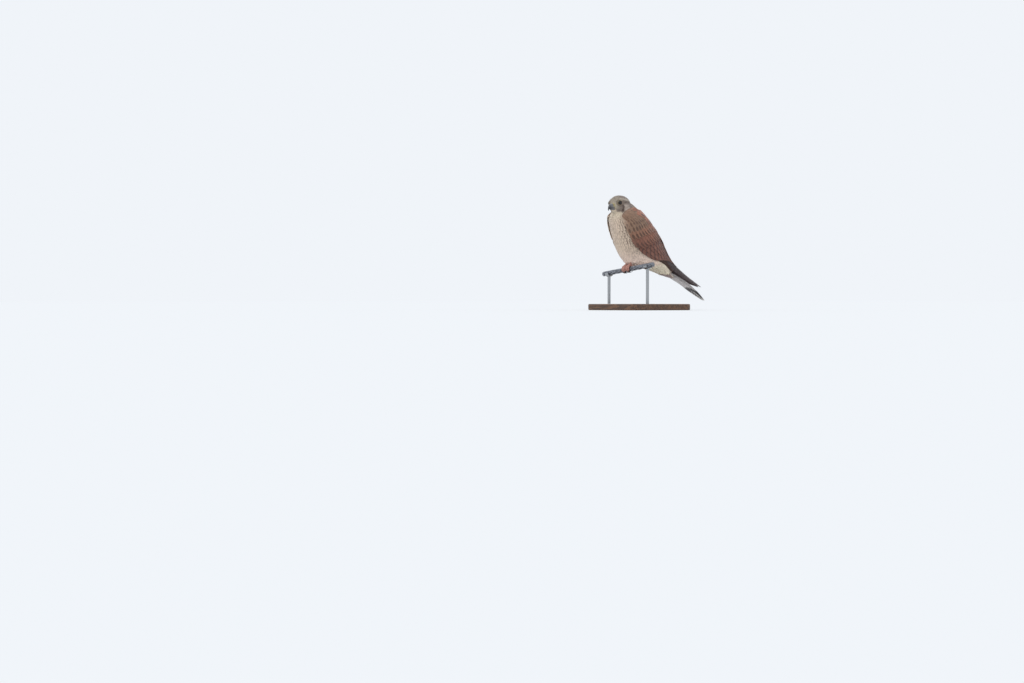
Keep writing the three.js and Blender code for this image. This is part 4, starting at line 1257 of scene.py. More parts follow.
WING_TIERS = (
    Tier(8, ((0.54, 0.24), (0.56, 0.7)), ((1.0, 0.45), (0.84, 0.76)), (5.4, 5.0), (-4.4, -2.0), QUILL,
         (Hue.PRIMARY, Hue.PRIMARY), (0, 0, 0.0), sunk=1.6, lean=4, webs=(1.25, 0.6)),
    Tier(10, ((0.35, 0.1), (0.35, 0.86)), ((0.6, 0.1), (0.77, 0.84)), (6.6, 6.4), (-1.8, -1.5), QUILL,
         (Hue.SECONDARY, Hue.SECONDARY), (0, 0, 0.6), sunk=1.2, lean=7, webs=(1.15, 0.8)),
    Tier(3, ((0.4, 0.8), (0.4, 0.94)), ((0.7, 0.86), (0.62, 0.93)), (6.6, 6.4), (-0.9, -0.1), QUILL,
         (Hue.COVERT, Hue.MANTLE), (0, 0, 0.85), sunk=1.6, lean=4),
    Tier(12, ((0.25, 0.08), (0.27, 0.8)), ((0.41, 0.09), (0.47, 0.8)), (5.2, 5.2), (0.1, 0.2), COVERT,
         (Hue.SECONDARY, Hue.COVERT), (0, 0.75, 0.3), sunk=2.4),
    Tier(11, ((0.14, 0.09), (0.15, 0.82)), ((0.3, 0.1), (0.34, 0.82)), (5.2, 5.2), (0.3, 0.4), COVERT,
         (Hue.COVERT, Hue.SCAPULAR), (0, 0.85, 0)),
    Tier(11, ((0.08, 0.07), (0.09, 0.84)), ((0.22, 0.08), (0.25, 0.84)), (4.6, 4.6), (0.45, 0.5), COVERT,
         (Hue.COVERT, Hue.SCAPULAR), (0, 0.8, 0)),
    Tier(12, ((0.03, 0.06), (0.04, 0.86)), ((0.16, 0.07), (0.18, 0.86)), (4.2, 4.2), (0.6, 0.6), COVERT,
         (Hue.COVERT, Hue.SCAPULAR), (0.1, 0.7, 0)),
    Tier(12, ((0.0, 0.06), (0.0, 0.88)), ((0.105, 0.05), (0.12, 0.88)), (3.8, 3.9), (0.7, 0.7), COVERT,
         (Hue.COVERT, Hue.SCAPULAR), (0.2, 0.6, 0), sunk=3.6),
    Tier(13, ((-0.03, 0.05), (-0.03, 0.9)), ((0.06, 0.04), (0.065, 0.9)), (3.4, 3.6), (0.8, 0.8), COVERT,
         (Hue.COVERT, Hue.SCAPULAR), (0.3, 0.5, 0), sunk=4.6),
    Tier(13, ((-0.05, 0.05), (-0.05, 0.92)), ((0.025, 0.03), (0.03, 0.92)), (3.2, 3.4), (0.9, 0.9), COVERT,
         (Hue.COVERT, Hue.SCAPULAR), (0.4, 0.4, 0), sunk=5.0),
    Tier(4, ((0.3, 0.78), (0.42, 0.92)), ((0.5, 0.76), (0.6, 0.92)), (5.6, 5.2), (0.7, 0.9), COVERT,
         (Hue.SCAPULAR, Hue.MANTLE), (0, 0.4, 0.9), sunk=2.6, lean=2),
    Tier(4, ((0.17, 0.74), (0.26, 0.93)), ((0.37, 0.72), (0.44, 0.93)), (5.6, 5.2), (0.9, 1.0), COVERT,
         (Hue.SCAPULAR, Hue.MANTLE), (0, 0.7, 0.8), sunk=2.6, lean=2),
    Tier(4, ((0.07, 0.72), (0.13, 0.94)), ((0.24, 0.7), (0.3, 0.94)), (5.4, 5.0), (1.0, 1.0), COVERT,
         (Hue.SCAPULAR, Hue.MANTLE), (0, 1.0, 0.5), sunk=2.6, lean=2),
    Tier(4, ((-0.01, 0.72), (0.03, 0.95)), ((0.14, 0.7), (0.17, 0.95)), (5.0, 4.8), (1.1, 1.0), COVERT,
         (Hue.SCAPULAR, Hue.MANTLE), (0.1, 1.0, 0.2), sunk=2.6, lean=2),
)


@dataclass
class Wing:
    """The folded wing: a thin core of flesh and quill roots, and the tiers of feathers on it."""

    thick: float = 0.35
    surfaces: float = 0.35
    crown: float = 0.0085
    outer: tuple = ((0, 1.4), (0.38, 1.6), (0.41, 3.4), (0.62, 3.4), (0.78, 4.6))
    inner: tuple = ((0, 12.6), (0.45, 6.6), (0.6, 5.6), (0.7, 7.0), (0.78, 6.4))

    @staticmethod
    def edge_share(u: Array, v: Array, side: int) -> Array:
        """How far a place on the wing's leading edge is covered by pale feathers of the breast."""
        reach = 0.1 if side > 0 else 0.2
        return smooth(v, reach, reach - 0.12) * smooth(u, 0.62, 0.4)

    @staticmethod
    def home(u: Array, v: Array) -> Array:
        """Places on the wing on an unwrap of its own surface, from 0 to 1 each way."""
        return np.clip(np.stack([0.02 + 0.45 * u, v], -1), 0, 1)

    def core(self, side: int) -> Piece:
        """The wing's core as a closed sheet."""
        pattern = VanePattern(even(50), both(14))
        u, v = np.meshgrid(np.linspace(0.005, 0.76, 50), np.linspace(0.05, 0.95, 14), indexing="ij")
        faces = [WING.point(u, v) - WING.normal(u, v) * np.interp(u, *zip(*depths))[..., None]
                 for depths in (self.outer, self.inner)]
        points = np.concatenate([face.reshape(-1, 3) for face in faces])
        points[:, 0] = np.maximum(points[:, 0], 0.5)
        tint = np.tile(Hue.DARK.colour * 0.9, (len(points), 1))
        tint = blend(tint, Hue.BREAST, np.tile(self.edge_share(u, v, side).ravel(), 2))
        home = np.tile(self.home(u.ravel(), v.ravel()), (2, 1))
        layers = {"Tint": tint, "Marks": np.zeros((len(points), 3))}
        return Piece("wing_core", world(points), pattern.shell()[:, ::-1], layers, {"OFBake": home, "Vane": home})

    def tier(self, name: str, tier: Tier, side: int, random: np.random.Generator) -> Piece:
        """One tier's feathers.

        Args:
            name: The piece's name.
            tier: The tier.
            side: 1 for the left wing, -1 for the right.
            random: The seeded source of chance.

        Returns:
            The piece.
        """
        count = tier.count
        t = np.linspace(0, 1, count)[:, None]
        root, tip, half, high, hue = (mixed(first, last, t) for first, last in (
            tier.roots, tier.tips, tier.half, tier.high, [hue.colour for hue in tier.hues]))
        loose = 0 if tier.pattern is QUILL else tier.jitter
        tip = tip + random.normal(0, 1, (count, 2)) * (loose, loose * 0.8)
        a, s = tier.pattern.grid()
        u, v = np.moveaxis(mixed(root[:, None], tip[:, None], s[None, :, None]), -1, 0)
        on = np.maximum(u, 0)
        step_u, step_v = np.moveaxis((tip - root)[:, None] * 0.02, -1, 0)
        first_part = WING.point(np.full_like(u, 0.02), v) - WING.point(np.zeros_like(u), v)
        centre = WING.point(u, v) + (np.minimum(u, 0) / 0.02)[..., None] * first_part
        along = unit(WING.point(on + step_u, v + step_v) - WING.point(on, v))
        up = WING.normal(np.clip(u, 0.005, 1), v)
        flat_share = 0.9 * smooth(root[:, 1], 0.55, 0.8) * smooth(root[:, 0], 0.2, 0.1)
        lean = (math.radians(tier.lean) * (1 - flat_share))[:, None, None]
        sideways = np.cross(along, up) * np.cos(lean) + up * np.sin(lean)
        half = half * random.uniform(0.95, 1.05, (count, 1))
        across = a * np.where(a > 0, tier.webs[1], tier.webs[0]) * half * tier.pattern.width(s)[None]
        high = high + random.normal(0, 0.05, (count, 1))
        rise = high - tier.sunk * (1 - np.minimum(s / self.surfaces, 1))[None] - self.crown * across ** 2
        top = centre + sideways * across[..., None] + up * rise[..., None]
        top[..., 0] = np.maximum(top[..., 0], 0.35)
        if tier.pattern is COVERT and tier.hues[0] is not Hue.SCAPULAR:
            hue = blend(hue, Hue.FRONT_COVERT, smooth(tip[:, 0], 0.4, 0.22) * smooth(tip[:, 1], 0.95, 0.75))
        # Painted shade: each feather is darkened towards its root, where the row before covers it, on top of a random
        # tone for each feather, and its edges are paler.
        shade = random.uniform(0.88, 1.12, (count, 1)) * (0.86 + 0.14 * s[None] + 0.16 * np.abs(a[None]) ** 3)
        edge = self.edge_share(tip[:, 0], tip[:, 1], side)
        tint = np.clip(blend(hue, Hue.BREAST, edge)[:, None] * shade[..., None], 0, 1)
        marks = np.tile(np.array(tier.marks, float), (count, len(a), 1)) * (1 - 0.8 * edge[:, None, None])
        return feathers_piece(name, tier.pattern, top, up, self.thick, tint, marks, self.home(*root.T))

    def build(self, side: int, finishes: dict[str, bpy.types.Material], seed: int) -> list[bpy.types.Object]:
        """Builds one wing.

        Args:
            side: 1 for the left, -1 for the right.
            finishes: The finishes of coverts, quills and core.
            seed: The seed of its small differences.

        Returns:
            Its pieces.
        """
        random = np.random.default_rng(seed)
        word = "left" if side > 0 else "right"
        groups: dict[str, list[Piece]] = {"quills": [], "coverts": []}
        for tier in WING_TIERS:
            group = "quills" if tier.pattern is QUILL else "coverts"
            groups[group].append(self.tier(group, tier, side, random))
        parts = {"core": self.core(side)} | {group: joined(group, pieces) for group, pieces in groups.items()}
        for piece in parts.values():
            piece.name += "_" + word
        return [(piece if side > 0 else mirrored(piece)).build(finishes[group]) for group, piece in parts.items()]


@dataclass
class Tail:
    """The closed tail: six pairs of feathers under a shallow roof, with coverts above and below."""

    pairs: int = 6
    pitch: float = 0.42
    top: tuple = (2.2, 1.4)
    grade: float = 0.17
    half: float = 7.6
    thick: float = 0.28
    covert_thick: float = 0.3
    crown: float = 0.006
    root: tuple = ((84, -11, 9.2, 4.3), (92, -11.8, 9.7, 4.8), (104, -15.5, 8.7, 4.1), (114, -19.2, 6.3, 2.4))
    covert_rows: tuple = ((Hue.RUMP, 1, (0.4, 3.7), 0.3, 7), (Hue.RUMP, 1, (1.2, 4.2), 0.17, 7),
                          (Hue.VENT, -1, (-0.4, -5.0), 0.36, 8), (Hue.VENT, -1, (-1.2, -5.4), 0.22, 8))

    def core(self) -> Piece:
        """The fleshy root of the tail."""
        t, turn = ring_grid(np.linspace(0, 1, 14), 28)
        y, z, half, high = np.moveaxis(along_curve(self.root, t), -1, 0)
        rings = np.stack([np.cos(turn) * half, y + np.sin(turn) * high * 0.3, z + np.sin(turn) * high], -1)
        piece = coloured(capped_loft("tail_root", rings), Hue.RUMP.colour)
        piece.layers["Marks"] = np.zeros((len(piece.points), 3))
        home = np.full((len(piece.points), 2), 0.5)
        home[:turn.size] = np.stack([turn.ravel() / (2 * np.pi), t.ravel()], -1)
        piece.maps = {"OFBake": home, "Vane": home}
        return piece

    def feather(self, pattern: VanePattern, span: tuple, across: float, spread: float, rise: tuple, half: float,
                webs: tuple = (1, 1)) -> tuple[Array, Array]:
        """One feather's upper face and the directions out of it.

        Args:
            pattern: Its pattern.
            span: Its root and tip along the tail.
            across: Its place across the tail at the root.
            spread: Its tip's place across, as a share of the root's.
            rise: Its height over the middle line at root and tip.
            half: Its half width, below 0 for a feather that faces down.
            webs: The shares of its webs on the tail's right and left.

        Returns:
            The points and the directions.
        """
        a, s = pattern.grid()
        here, up = TAIL.frame_at(np.minimum(mixed(*span, s), 1))
        x = across * mixed(1, spread, s)
        slope = (TAIL.rise(x + 1) - TAIL.rise(x - 1)) / 2
        wide = a * half * pattern.width(s) * np.where(a > 0, webs[1], webs[0])
        sideways = unit(np.stack([np.ones_like(slope), np.zeros_like(slope), slope], -1))
        upward = np.column_stack([np.zeros_like(slope), up])
        centre = np.stack([x, here[:, 0], here[:, 1] + TAIL.rise(x)], -1)
        points = centre + sideways * wide[:, None] + upward * (mixed(*rise, s) - self.crown * wide ** 2)[:, None]
        return points, upward if half > 0 else -upward

    def quills(self, random: np.random.Generator) -> Piece:
        """The twelve tail feathers, the middle pair on top."""
        made, tints, homes = [], [], []
        a, s = QUILL.grid()
        for i in range(self.pairs):
            t = i / (self.pairs - 1)
            webs = (1.0 + 0.15 * t, 1.0 - 0.35 * t)
            span = (0.02, 1 - self.grade * t ** 1.6)
            edge = s + 0.006 * np.sin(a * 7 + i)
            for side in (1, -1):
                layer = 2 * i + (side < 0)
                rise = tuple(top - self.pitch * layer for top in self.top)
                made.append(self.feather(QUILL, span, side * (0.8 + 2.6 * t), 1.25, rise, self.half, webs[::side]))
                tint = np.tile(Hue.TAIL_GREY.colour, (len(a), 1)) * random.uniform(0.95, 1.05)
                tint = blend(tint, Hue.BAND, 0.95 * smooth(edge, 0.79, 0.81) * smooth(edge, 0.965, 0.95))
                tints.append(blend(tint, Hue.TAIL_TIP, smooth(edge, 0.95, 0.965)))
                homes.append((0.1 + 0.06 * layer, 0.9))
        marks = np.zeros((len(a), 3))
        marks[:, 2] = 0.12 * (s < 0.76)
        return self.packed("tail_quills", QUILL, self.thick, made, tints, marks, homes)

    def coverts(self, random: np.random.Generator) -> Piece:
        """The coverts over and under the tail's root."""
        made, tints, homes = [], [], []
        points = len(COVERT.rows) * len(COVERT.columns)
        for hue, up, rise, length, count in self.covert_rows:
            for k in range(count):
                place = (k / (count - 1)) * 2 - 1
                end = length - 0.05 * abs(place) + random.uniform(-0.01, 0.01)
                lift = (rise[0], rise[1] - 0.9 * abs(place) * up)
                made.append(self.feather(COVERT, (0, end), place * 7.2, 0.9, lift, 4.6 * up))
                tints.append(np.tile(hue.colour, (points, 1)) * random.uniform(0.92, 1.08))
                homes.append((0.1 + 0.1 * k, 0.6 + 0.1 * up))
        return self.packed("tail_coverts", COVERT, self.covert_thick, made, tints, np.zeros((points, 3)), homes)

    @staticmethod
    def packed(name: str, pattern: VanePattern, thick: float, made: list, tints: list, marks: Array,
               homes: list) -> Piece:
        """The tail's feathers of one pattern as one piece."""
        tops, outs = (np.stack(part) for part in zip(*made))
        return feathers_piece(name, pattern, tops, outs, thick, np.clip(np.stack(tints), 0, 1),
                              np.tile(marks, (len(made), 1, 1)), np.array(homes))

    def build(self, finish: bpy.types.Material, random: np.random.Generator) -> list[bpy.types.Object]:
        """Builds the tail's pieces."""
        return [self.core().build(finish), self.quills(random).build(finish), self.coverts(random).build(finish)]


def coloured(piece: Piece, tint: Array, name: str | None = None) -> Piece:
    """The piece in metres with one colour for each point, and renamed if a name is given."""
    piece.points = world(piece.points)
    piece.layers = {"Tint": np.broadcast_to(tint, (len(piece.points), 3))}
    piece.name = name or piece.name
    return piece


@dataclass
class Bill:
    """The hooked bill with its tooth, the yellow cere round its root and the nostrils."""

    upper: tuple = ((20, 2.6, 20, -6.3, 5.2), (24, 2.3, 23.8, -6.4, 4.4), (28, 0.4, 27.2, -6.5, 3.3),
                    (30.9, -2.8, 29.2, -7, 2.3), (32.6, -6.4, 30.8, -8.4, 1.4), (33, -9.6, 32, -10.3, 0.8),
                    (32.7, -12.2, 32.4, -12.3, 0.3))
    lower: tuple = ((17, -6.9, 17, -11, 5.2), (20, -6.9, 20, -10.4, 4.4), (23.8, -7, 23.8, -10.3, 3.6),
                    (27, -7.2, 26.8, -9.4, 2.4), (28.7, -7.8, 28.5, -8.6, 1.1))
    cere_root: tuple = (17, 3.4, 17, -6.6, 6.4)
    gape: tuple = ((4.3, 19.8, -6.6, 0.4), (6.3, 18.2, -6.8, 0.5), (8.3, 16.3, -7.1, 0.45), (10.2, 14.2, -7.7, 0.2))
    nostril: tuple = (4.9, 22.9, -0.6)
    nostril_half: tuple = (0.4, 0.7, 0.7)
    full: float = 2.3
    edge_full: float = 4.5
    shut: float = 0.3
    tooth: float = 0.7
    horn: Colour = srgb(108, 106, 108)
    tip: Colour = srgb(34, 34, 38)
    cere_colour: Colour = srgb(160, 146, 104)

    def shell(self, table: tuple, rows: int, grow: float, span: tuple = (0, 1)) -> Piece:
        """A half of the bill, or the cere on it, from a table of ridge, edge and half width."""
        t, turn = ring_grid(np.linspace(*span, rows), 40)
        at = along_curve(table, t)
        half_up = (at[..., 0:2] - at[..., 2:4]) / 2
        high = np.linalg.norm(half_up, axis=-1, keepdims=True)
        inward = -1 if table is self.upper else 1
        horny = grow == 0
        power = np.where((np.sin(turn) * inward > 0) & horny, 2 / self.edge_full, 2 / self.full)
        across, rise = round_section(turn, power)
        flat = (at[..., 0:2] + at[..., 2:4]) / 2 + half_up * (rise[..., None] * (high + grow) / high)
        flat[..., 1] += self.shut * np.clip(rise * inward, 0, 1) * inward * horny
        if table is self.upper and horny:
            flat[..., 1] -= self.tooth * np.exp(-((t - 0.52) / 0.05) ** 2) * np.clip(-rise, 0, 1) ** 2
        return capped_loft("bill", HEAD.place(np.stack([across * (at[..., 4] + grow), flat[..., 0], flat[..., 1]], -1)))

    def build(self, horn: bpy.types.Material, bare: bpy.types.Material) -> list[bpy.types.Object]:
        """Builds the bill.

        Args:
            horn: The horn's finish.
            bare: The cere's finish.

        Returns:
            Upper bill, lower bill, cere and nostrils.
        """
        pieces = []
        for name, table in (("upper_bill", self.upper), ("lower_bill", self.lower)):
            half = self.shell(table, 48, 0)
            _, forward, up = HEAD.local(half.points).T
            share = smooth(forward - up * 0.35, 25, 34)[:, None]
            pieces.append(coloured(half, mixed(self.horn, self.tip, share), name).build(horn))
        root = self.shell((self.cere_root,) + self.upper[:2], 16, 0.35, (0.1, 0.86))
        gape = [coloured(self.lip(side), np.array(self.cere_colour) * 0.9) for side in (1, -1)]
        pieces.append(joined("cere", [coloured(root, self.cere_colour)] + gape).build(bare))
        for side, word in ((1, "left"), (-1, "right")):
            # Each nostril is a small ball in a very dark tint set into the cere: painted shade that stands for the
            # nostril's hole.
            pit = ball(HEAD.place(np.array(self.nostril) * (side, 1, 1)), self.nostril_half)
            pieces.append(coloured(pit, np.array(self.tip) * 0.4, "nostril_" + word).build(horn))
        return pieces

    def lip(self, side: int) -> Piece:
        """The soft corner of the mouth, from the bill's root back under the eye."""
        path = np.array(self.gape)
        return tube(HEAD.place(path[:, :3] * (side, 1, 1)), path[:, 3], 20, 10)


@dataclass
class Eyes:
    """The dark eyes, each in a ring of bare skin and a collar of lids."""

    rim: tuple = ((4.05, 2.9), (4.15, 3.3), (4.45, 3.45), (4.75, 3.2), (5.2, 2.6), (5.7, 1.8), (5.4, 0.8), (4.4, 1.8))
    rim_points: int = 4
    rim_colour: Colour = srgb(126, 112, 74)
    globe_inset: float = 0.15
    lid_sides: int = 72
    lid_folds: int = 11

    def build(self, side: int, wet: bpy.types.Material, bare: bpy.types.Material) -> list[bpy.types.Object]:
        """Builds one eye and its lids.

        Args:
            side: 1 for the left, -1 for the right.
            wet: The eye's finish.
            bare: The lids' finish.

        Returns:
            The eye and the ring of its lids.
        """
        word = "left" if side > 0 else "right"
        centre = HEAD.eye_place(side)
        globe = ball(centre, (HEAD.eye_radius - self.globe_inset,) * 3, 32, 48)
        look = HEAD.look(side)
        across = unit(np.cross((0, 0, 1), look))
        up = np.cross(look, across)
        profile = np.array(self.rim)
        turn = np.linspace(0, 2 * np.pi, self.lid_sides, endpoint=False)[:, None]
        wide = profile[None, :, 0] * (1 + 0.012 * np.cos(self.lid_folds * turn))
        high = profile[None, :, 1] - 0.3 * np.cos(turn) ** 2
        points = (centre + across * (wide * np.cos(turn))[..., None] + up * (0.95 * wide * np.sin(turn))[..., None]
                  + look * high[..., None]).reshape(-1, 3)
        faces = grid_faces(self.lid_sides + 1, len(profile), closed=True) % len(points)
        found = points[faces]
        inner = centre + look * profile[:, 1].mean()
        ring_middle = inner + unit(found.mean(axis=1) - inner) * profile[:, 0].mean()
        normal = np.cross(found[:, 1] - found[:, 0], found[:, 2] - found[:, 0])
        outward = np.sum(normal * (found.mean(axis=1) - ring_middle), axis=1).sum() > 0
        lids = Piece("lids_" + word, points, faces if outward else faces[:, ::-1])
        bare_rim = np.tile(np.arange(len(profile)) < self.rim_points, self.lid_sides)[:, None]
        tint = np.where(bare_rim, np.array(self.rim_colour), Hue.EYE_LINE.colour)
        return [coloured(globe, np.zeros(3), f"eye_{word}_globe").build(wet), coloured(lids, tint).build(bare)]


@dataclass
class Foot:
    """A foot that grips the wire: three toes over the front and one behind, with scutes and claws."""

    spread: float = 5.8
    pad_place: tuple = (0.3, WIRE_RADIUS + 2.1)
    pad_half: tuple = (4.29, 4.563, 2.73)
    toe_gap: float = 3.45
    toe_radius: float = 1.85
    hind_radius: float = 1.95
    toes: tuple = ((-1, 116), (0, 134), (1, 118))
    hind_end: float = -92
    claw_sweep: float = 62
    claw_radius: float = 1.15
    gap: float = 0.3
    ankle: tuple = ((6, 0.5, 4.6), (8, 6, 17))
    shank_radii: tuple = (2.09, 1.862, 1.938)
    claw_colour: Colour = srgb(30, 28, 32)
    claw_root: Colour = srgb(92, 84, 84)

    @staticmethod
    def perch(points: Array) -> Array:
        """Points given in the wire's frame, in the bird's."""
        x, y, z = np.moveaxis(np.asarray(points, float), -1, 0)
        c, s = math.cos(WIRE_SLOPE), math.sin(WIRE_SLOPE)
        return np.stack([x * c - z * s, y, x * s + z * c - WIRE_RADIUS], -1)

    def curl(self, x: Array, angle: Array, height: Array, radius: Array, sides: int, ridge: Array) -> Piece:
        """A tube that lies round the wire.

        Args:
            x: Its middle's places along the wire.
            angle: Its middle's angles from the wire's top, in degrees, above 0 at the front.
            height: Its middle's height over the wire.
            radius: Its radius.
            sides: The sides of a ring.
            ridge: How much each ring stands out at the back.

        Returns:
            The tube.
        """
        turn = np.radians(angle)
        outward = np.stack([np.zeros_like(turn), -np.sin(turn), np.cos(turn)], -1)
        middle = outward * (WIRE_RADIUS + self.gap + height)[:, None]
        middle[:, 0] = x
        ring = np.linspace(0, 2 * np.pi, sides, endpoint=False)
        scute = 1 + ridge[:, None] * np.clip(np.sin(ring), 0, 1)[None] ** 0.5
        rings = middle[:, None] + (radius[:, None] * scute)[..., None] * (
            np.cos(ring)[None, :, None] * np.array([1, 0, 0]) + np.sin(ring)[None, :, None] * outward[:, None])
        return capped_loft("curl", self.perch(rings))

    def toe(self, side: int, place: int, end: float, thick: float) -> Piece:
        """A toe with its scutes."""
        t = np.linspace(0, 1, 90)
        joints = 1 + 0.1 * np.cos(t * 6 * np.pi)
        radius = thick * (1.06 - 0.2 * t) * joints * np.minimum(1, 0.55 + (1 - t) * 8)
        start = math.copysign(4, end)
        x = side * self.spread + place * self.toe_gap * (1 - 0.55 * (1 - np.minimum(t * 2.2, 1)) ** 2)
        height = radius * 1.02 + 1.3 * (1 - np.minimum(t * 3, 1))
        step = np.abs(((t * 15) % 1) - 0.5) * 2
        return self.curl(x, start + (end - start) * t, height, radius * 0.97, 20, 0.1 * (1 - step ** 3))

    def claw(self, side: int, place: int, end: float, name: str) -> Piece:
        """A claw that curls on round the wire."""
        t = np.linspace(0, 1, 30)
        turn = math.copysign(1, end)
        radius = self.claw_radius * (1 - t) ** 0.8 + 0.12
        angle = end + turn * (self.claw_sweep * t + 1.5)
        x = np.full_like(t, side * self.spread + place * self.toe_gap)
        piece = self.curl(x, angle, radius + 0.5 + 0.9 * t, radius, 16, np.zeros_like(t))
        share = smooth(np.repeat(np.concatenate([[0], t, [1]]), 16), 0.0, 0.35)[:, None]
        return coloured(piece, mixed(self.claw_root, self.claw_colour, share), name)

    def build(self, side: int, bare: bpy.types.Material, horn: bpy.types.Material) -> dict[str, bpy.types.Object]:
        """Builds one foot.

        Args:
            side: 1 for the left, -1 for the right.
            bare: The skin's finish.
            horn: The claws' finish.

        Returns:
            The pieces by the names of the nodes that they stand for.
        """
        word = "left" if side > 0 else "right"
        none = np.zeros(3)
        centre = self.perch(np.array([side * self.spread, *self.pad_place]))
        parts = [coloured(ball(centre, np.array(self.pad_half), 20, 32), none)]
        parts += [coloured(self.toe(side, place, end, self.toe_radius), none) for place, end in self.toes]
        parts.append(coloured(self.toe(side, 0, self.hind_end, self.hind_radius), none))
        foot = joined("toes_" + word, parts)
        path = np.array(self.ankle) * (side, 1, 1)
        path = np.vstack([path[0], path.mean(axis=0), path[1]])
        shank = coloured(tube(path, np.array(self.shank_radii), 24, 20), none, "tarsus_" + word)
        built = {"foot_" + word: foot.build(bare), "shank_" + word: shank.build(bare)}
        for number, (place, end) in enumerate((*self.toes, (0, self.hind_end)), 1):
            mark = "hind" if number > len(self.toes) else str(number)
            claw = self.claw(side, place, end, f"talon_{word}_{mark}")
            built[f"claw_{word}_{mark}"] = claw.build(horn)
        return built


@dataclass
class Strand:
    """The stranded wire, its strands laid round a core by a tree of geometry nodes."""

    length: float = 149.4
    strands: int = 6
    lay: float = 96.0
    turn_points: int = 64
    sides: int = 20

    def tree(self) -> bpy.types.NodeTree:
        """The tree: one strand as a spiral, turned about the wire's axis once for each strand, and a core."""
        tree = bpy.data.node_groups.new("strands", "GeometryNodeTree")
        inputs = {"Strands": "NodeSocketInt", "Lay Radius": "NodeSocketFloat", "Strand Radius": "NodeSocketFloat",
                  "Turns": "NodeSocketFloat", "Length": "NodeSocketFloat", "Finish": "NodeSocketMaterial"}
        for name, kind in inputs.items():
            tree.interface.new_socket(name, in_out="INPUT", socket_type=kind)
        tree.interface.new_socket("Geometry", in_out="OUTPUT", socket_type="NodeSocketGeometry")
        web = NodeWeb(tree)
        given = web.add("NodeGroupInput").outputs

        def geometry(kind: str, inputs: dict) -> bpy.types.NodeSocket:
            """The first output of a new geometry node."""
            return web.add("GeometryNode" + kind, inputs).outputs[0]

        def about_axis(angle_or_height: object) -> bpy.types.NodeSocket:
            """A vector along the wire's axis."""
            return web.add("ShaderNodeCombineXYZ", {"Z": angle_or_height}).outputs[0]

        spiral = geometry("CurveSpiral", {
            "Resolution": self.turn_points, "Start Radius": given["Lay Radius"], "End Radius": given["Lay Radius"],
            "Rotations": given["Turns"], "Height": given["Length"]})
        circle = geometry("CurvePrimitiveCircle", {"Resolution": self.sides, "Radius": given["Strand Radius"]})
        sweep = geometry("CurveToMesh", {"Fill Caps": True, "Curve": spiral, "Profile Curve": circle})
        share = web.math("DIVIDE", geometry("InputIndex", {}), given["Strands"])
        copies = geometry("InstanceOnPoints", {
            "Points": geometry("Points", {"Count": given["Strands"]}), "Instance": sweep,
            "Rotation": about_axis(web.times(share, 2 * math.pi))})
        core = geometry("MeshCylinder", {
            "Vertices": self.sides, "Radius": given["Strand Radius"], "Depth": given["Length"]})
        moved = geometry("Transform", {
            "Geometry": core, "Translation": about_axis(web.times(given["Length"], 0.5))})
        whole = web.add("GeometryNodeJoinGeometry", {0: geometry("RealizeInstances", {0: copies})})
        web.feed(whole.inputs[0], moved)
        finish = geometry("SetMaterial", {"Geometry": whole.outputs[0], "Material": given["Finish"]})
        web.add("NodeGroupOutput", {0: finish})
        return tree

    def build(self, material: bpy.types.Material) -> bpy.types.Object:
        """Builds the wire in its place under the feet.

        Args:
            material: Its finish.

        Returns:
            The wire.
        """
        radius = WIRE_RADIUS / 3 * MM
        settings = {"Strands": self.strands, "Lay Radius": 2 * radius, "Strand Radius": radius,
                    "Turns": self.length / self.lay, "Length": self.length * MM, "Finish": material}
        wire = linked("stranded_wire", bpy.data.meshes.new("stranded_wire"))
        modifier = wire.modifiers.new("strands", "NODES")
        modifier.node_group = self.tree()
        for item in modifier.node_group.interface.items_tree:
            if item.in_out == "INPUT":
                modifier[item.identifier] = settings[item.name]
        apply_modifiers(wire)
        lay_down = Matrix.Rotation(math.radians(90), 4, "Y") @ Matrix.Translation((0, 0, -self.length / 2 * MM))
        tilt = Matrix.Rotation(-WIRE_SLOPE, 4, "Y")
        axis = Matrix.Translation((0, FEET_Y * MM, (WIRE_TOP - WIRE_RADIUS) * MM))
        wire.data.transform(axis @ tilt @ lay_down)
        shade_smooth(wire.data)
        return wire


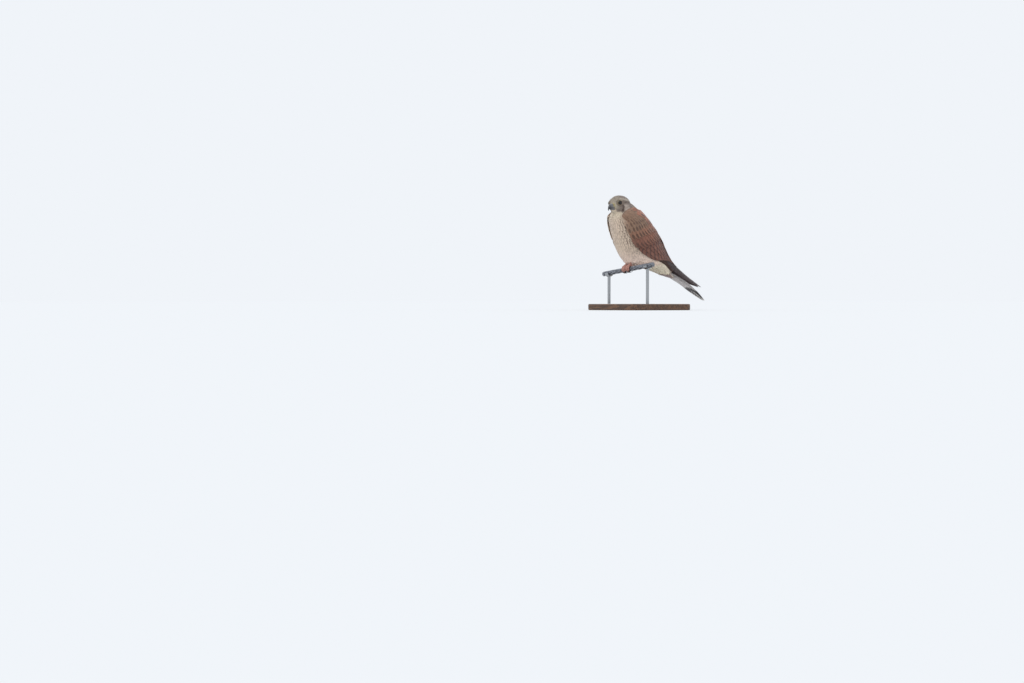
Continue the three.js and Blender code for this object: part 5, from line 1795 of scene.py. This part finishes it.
@dataclass
class Studio:
    """The camera, the light and the pale floor."""

    azimuth: float = 50.0
    distance: float = 3.99
    camera_height: float = 0.02
    lens: float = 72.0
    focal_pixels: float = 2048.0
    feet_right: float = 116.0
    feet_up: float = 74.5
    sky: Colour = srgb(240, 244, 249)
    floor_colour: Colour = srgb(228, 229, 230)
    floor_reach: float = 14.0
    sun_energy: float = 1.1
    sun_softness: float = 25.0
    sun_tilt: float = 42.0
    sun_turn: float = 15.0

    def build(self) -> None:
        """Sets up the camera, the light and the floor."""
        scene = bpy.context.scene
        scene.view_settings.view_transform = "Standard"
        feet = np.array([0, FEET_Y, WIRE_TOP]) * MM
        turn = math.radians(self.azimuth)
        camera = linked("camera", bpy.data.cameras.new("camera"))
        scene.camera = camera
        camera.data.lens = self.lens
        camera.data.clip_end = 100
        away_x, away_y = math.sin(turn) * self.distance, -math.cos(turn) * self.distance
        camera.location = (feet[0] + away_x, feet[1] + away_y, self.camera_height)
        look_up = math.atan2(feet[2] - self.camera_height, self.distance) - math.atan(self.feet_up / self.focal_pixels)
        yaw = turn + math.atan(self.feet_right / self.focal_pixels)
        camera.rotation_euler = (math.pi / 2 + look_up, 0, yaw)
        scene.world = bpy.data.worlds.new("sky")
        scene.world.use_nodes = True
        background = scene.world.node_tree.nodes["Background"]
        background.inputs["Color"].default_value = (*self.sky, 1)
        background.inputs["Strength"].default_value = 1.0
        sun = linked("sun", bpy.data.lights.new("sun", "SUN"))
        sun.data.energy = self.sun_energy
        sun.data.angle = math.radians(self.sun_softness)
        sun.rotation_euler = (math.radians(self.sun_tilt), 0, math.radians(self.sun_turn))
        self.floor()

    def floor(self) -> None:
        """The pale floor, which fades into the sky."""
        web = ShaderWeb("floor")
        web.surface(self.floor_colour, 1.0, {"Specular IOR Level": 0.0})
        mesh = bpy.data.meshes.new("floor")
        reach = self.floor_reach
        square = [(x * reach, y * reach, 0) for x, y in ((-1, -1), (1, -1), (1, 1), (-1, 1))]
        mesh.from_pydata(square, [], [(0, 1, 2, 3)])
        mesh.materials.append(web.material)
        linked("floor", mesh)


def ride(piece: bpy.types.Object, slot: str, *nodes: str) -> None:
    """Fixes a piece to the model and hides the nodes that it stands for."""
    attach(piece, "root")
    if nodes:
        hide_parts(*nodes)


def corners(bounds: object) -> list:
    """A box as plain lists of numbers."""
    return [[float(value) for value in corner] for corner in bounds]


def main() -> None:
    """Builds the scene in order."""
    logging.basicConfig(level=logging.INFO)
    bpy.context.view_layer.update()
    random = np.random.default_rng(COAT_SEED)
    feather = FeatherFinish("plumage", Hue.DARK.value).make()
    quill = FeatherFinish("quills", Hue.BAND.value, barbs=110.0).make()
    skin_finish = SkinFinish("skin", Hue.DARK.value).make()
    horn = HornFinish("horn", 0.32).make()
    cere = HornFinish("cere", 0.55).make()
    bare = FootFinish("bare_skin", srgb(202, 154, 138), srgb(132, 80, 70)).make()
    wet = EyeFinish("eye", (0.02, 0.011, 0.008)).make()

    skin = Skin()
    ride(skin.build(skin_finish), "pale_plumage", "head", "neck", "torso", "thigh_left", "thigh_right")
    for piece in Coat(skin).build(feather, random):
        on_head = piece.name in ("face_feathers", "crown_feathers")
        ride(piece, "head_plumage" if on_head else "pale_plumage", "head" if on_head else "torso")

    finishes = {"core": skin_finish, "quills": quill, "coverts": feather}
    for side, word in ((1, "left"), (-1, "right")):
        for piece in Wing().build(side, finishes, WING_SEED + side):
            ride(piece, "wing_plumage", "wing_" + word)
        eyeball, lids = Eyes().build(side, wet, cere)
        ride(eyeball, "eye", "eye_" + word)
        ride(lids, "head_plumage", "head")
        for node, piece in Foot().build(side, bare, horn).items():
            ride(piece, "claw" if node.startswith("claw") else "foot_skin", node)
    for piece in Tail().build(quill, random):
        ride(piece, "tail_plumage", "tail")
    for piece in Bill().build(horn, cere):
        ride(piece, "bill", "bill_lower" if piece.name == "lower_bill" else "bill_upper")
    ride(Strand().build(WireFinish("wire").make()), "wire", "perch_wire")

    wood = WoodFinish("walnut").make()
    steel = SteelFinish("steel").make()
    for node, finish in (("stand_base", wood), ("stand_rod_left", steel), ("stand_rod_right", steel)):
        for material_slot in bpy.data.objects[node].material_slots:
            material_slot.material = finish
    Studio().build()


if __name__ == "__main__":
    main()
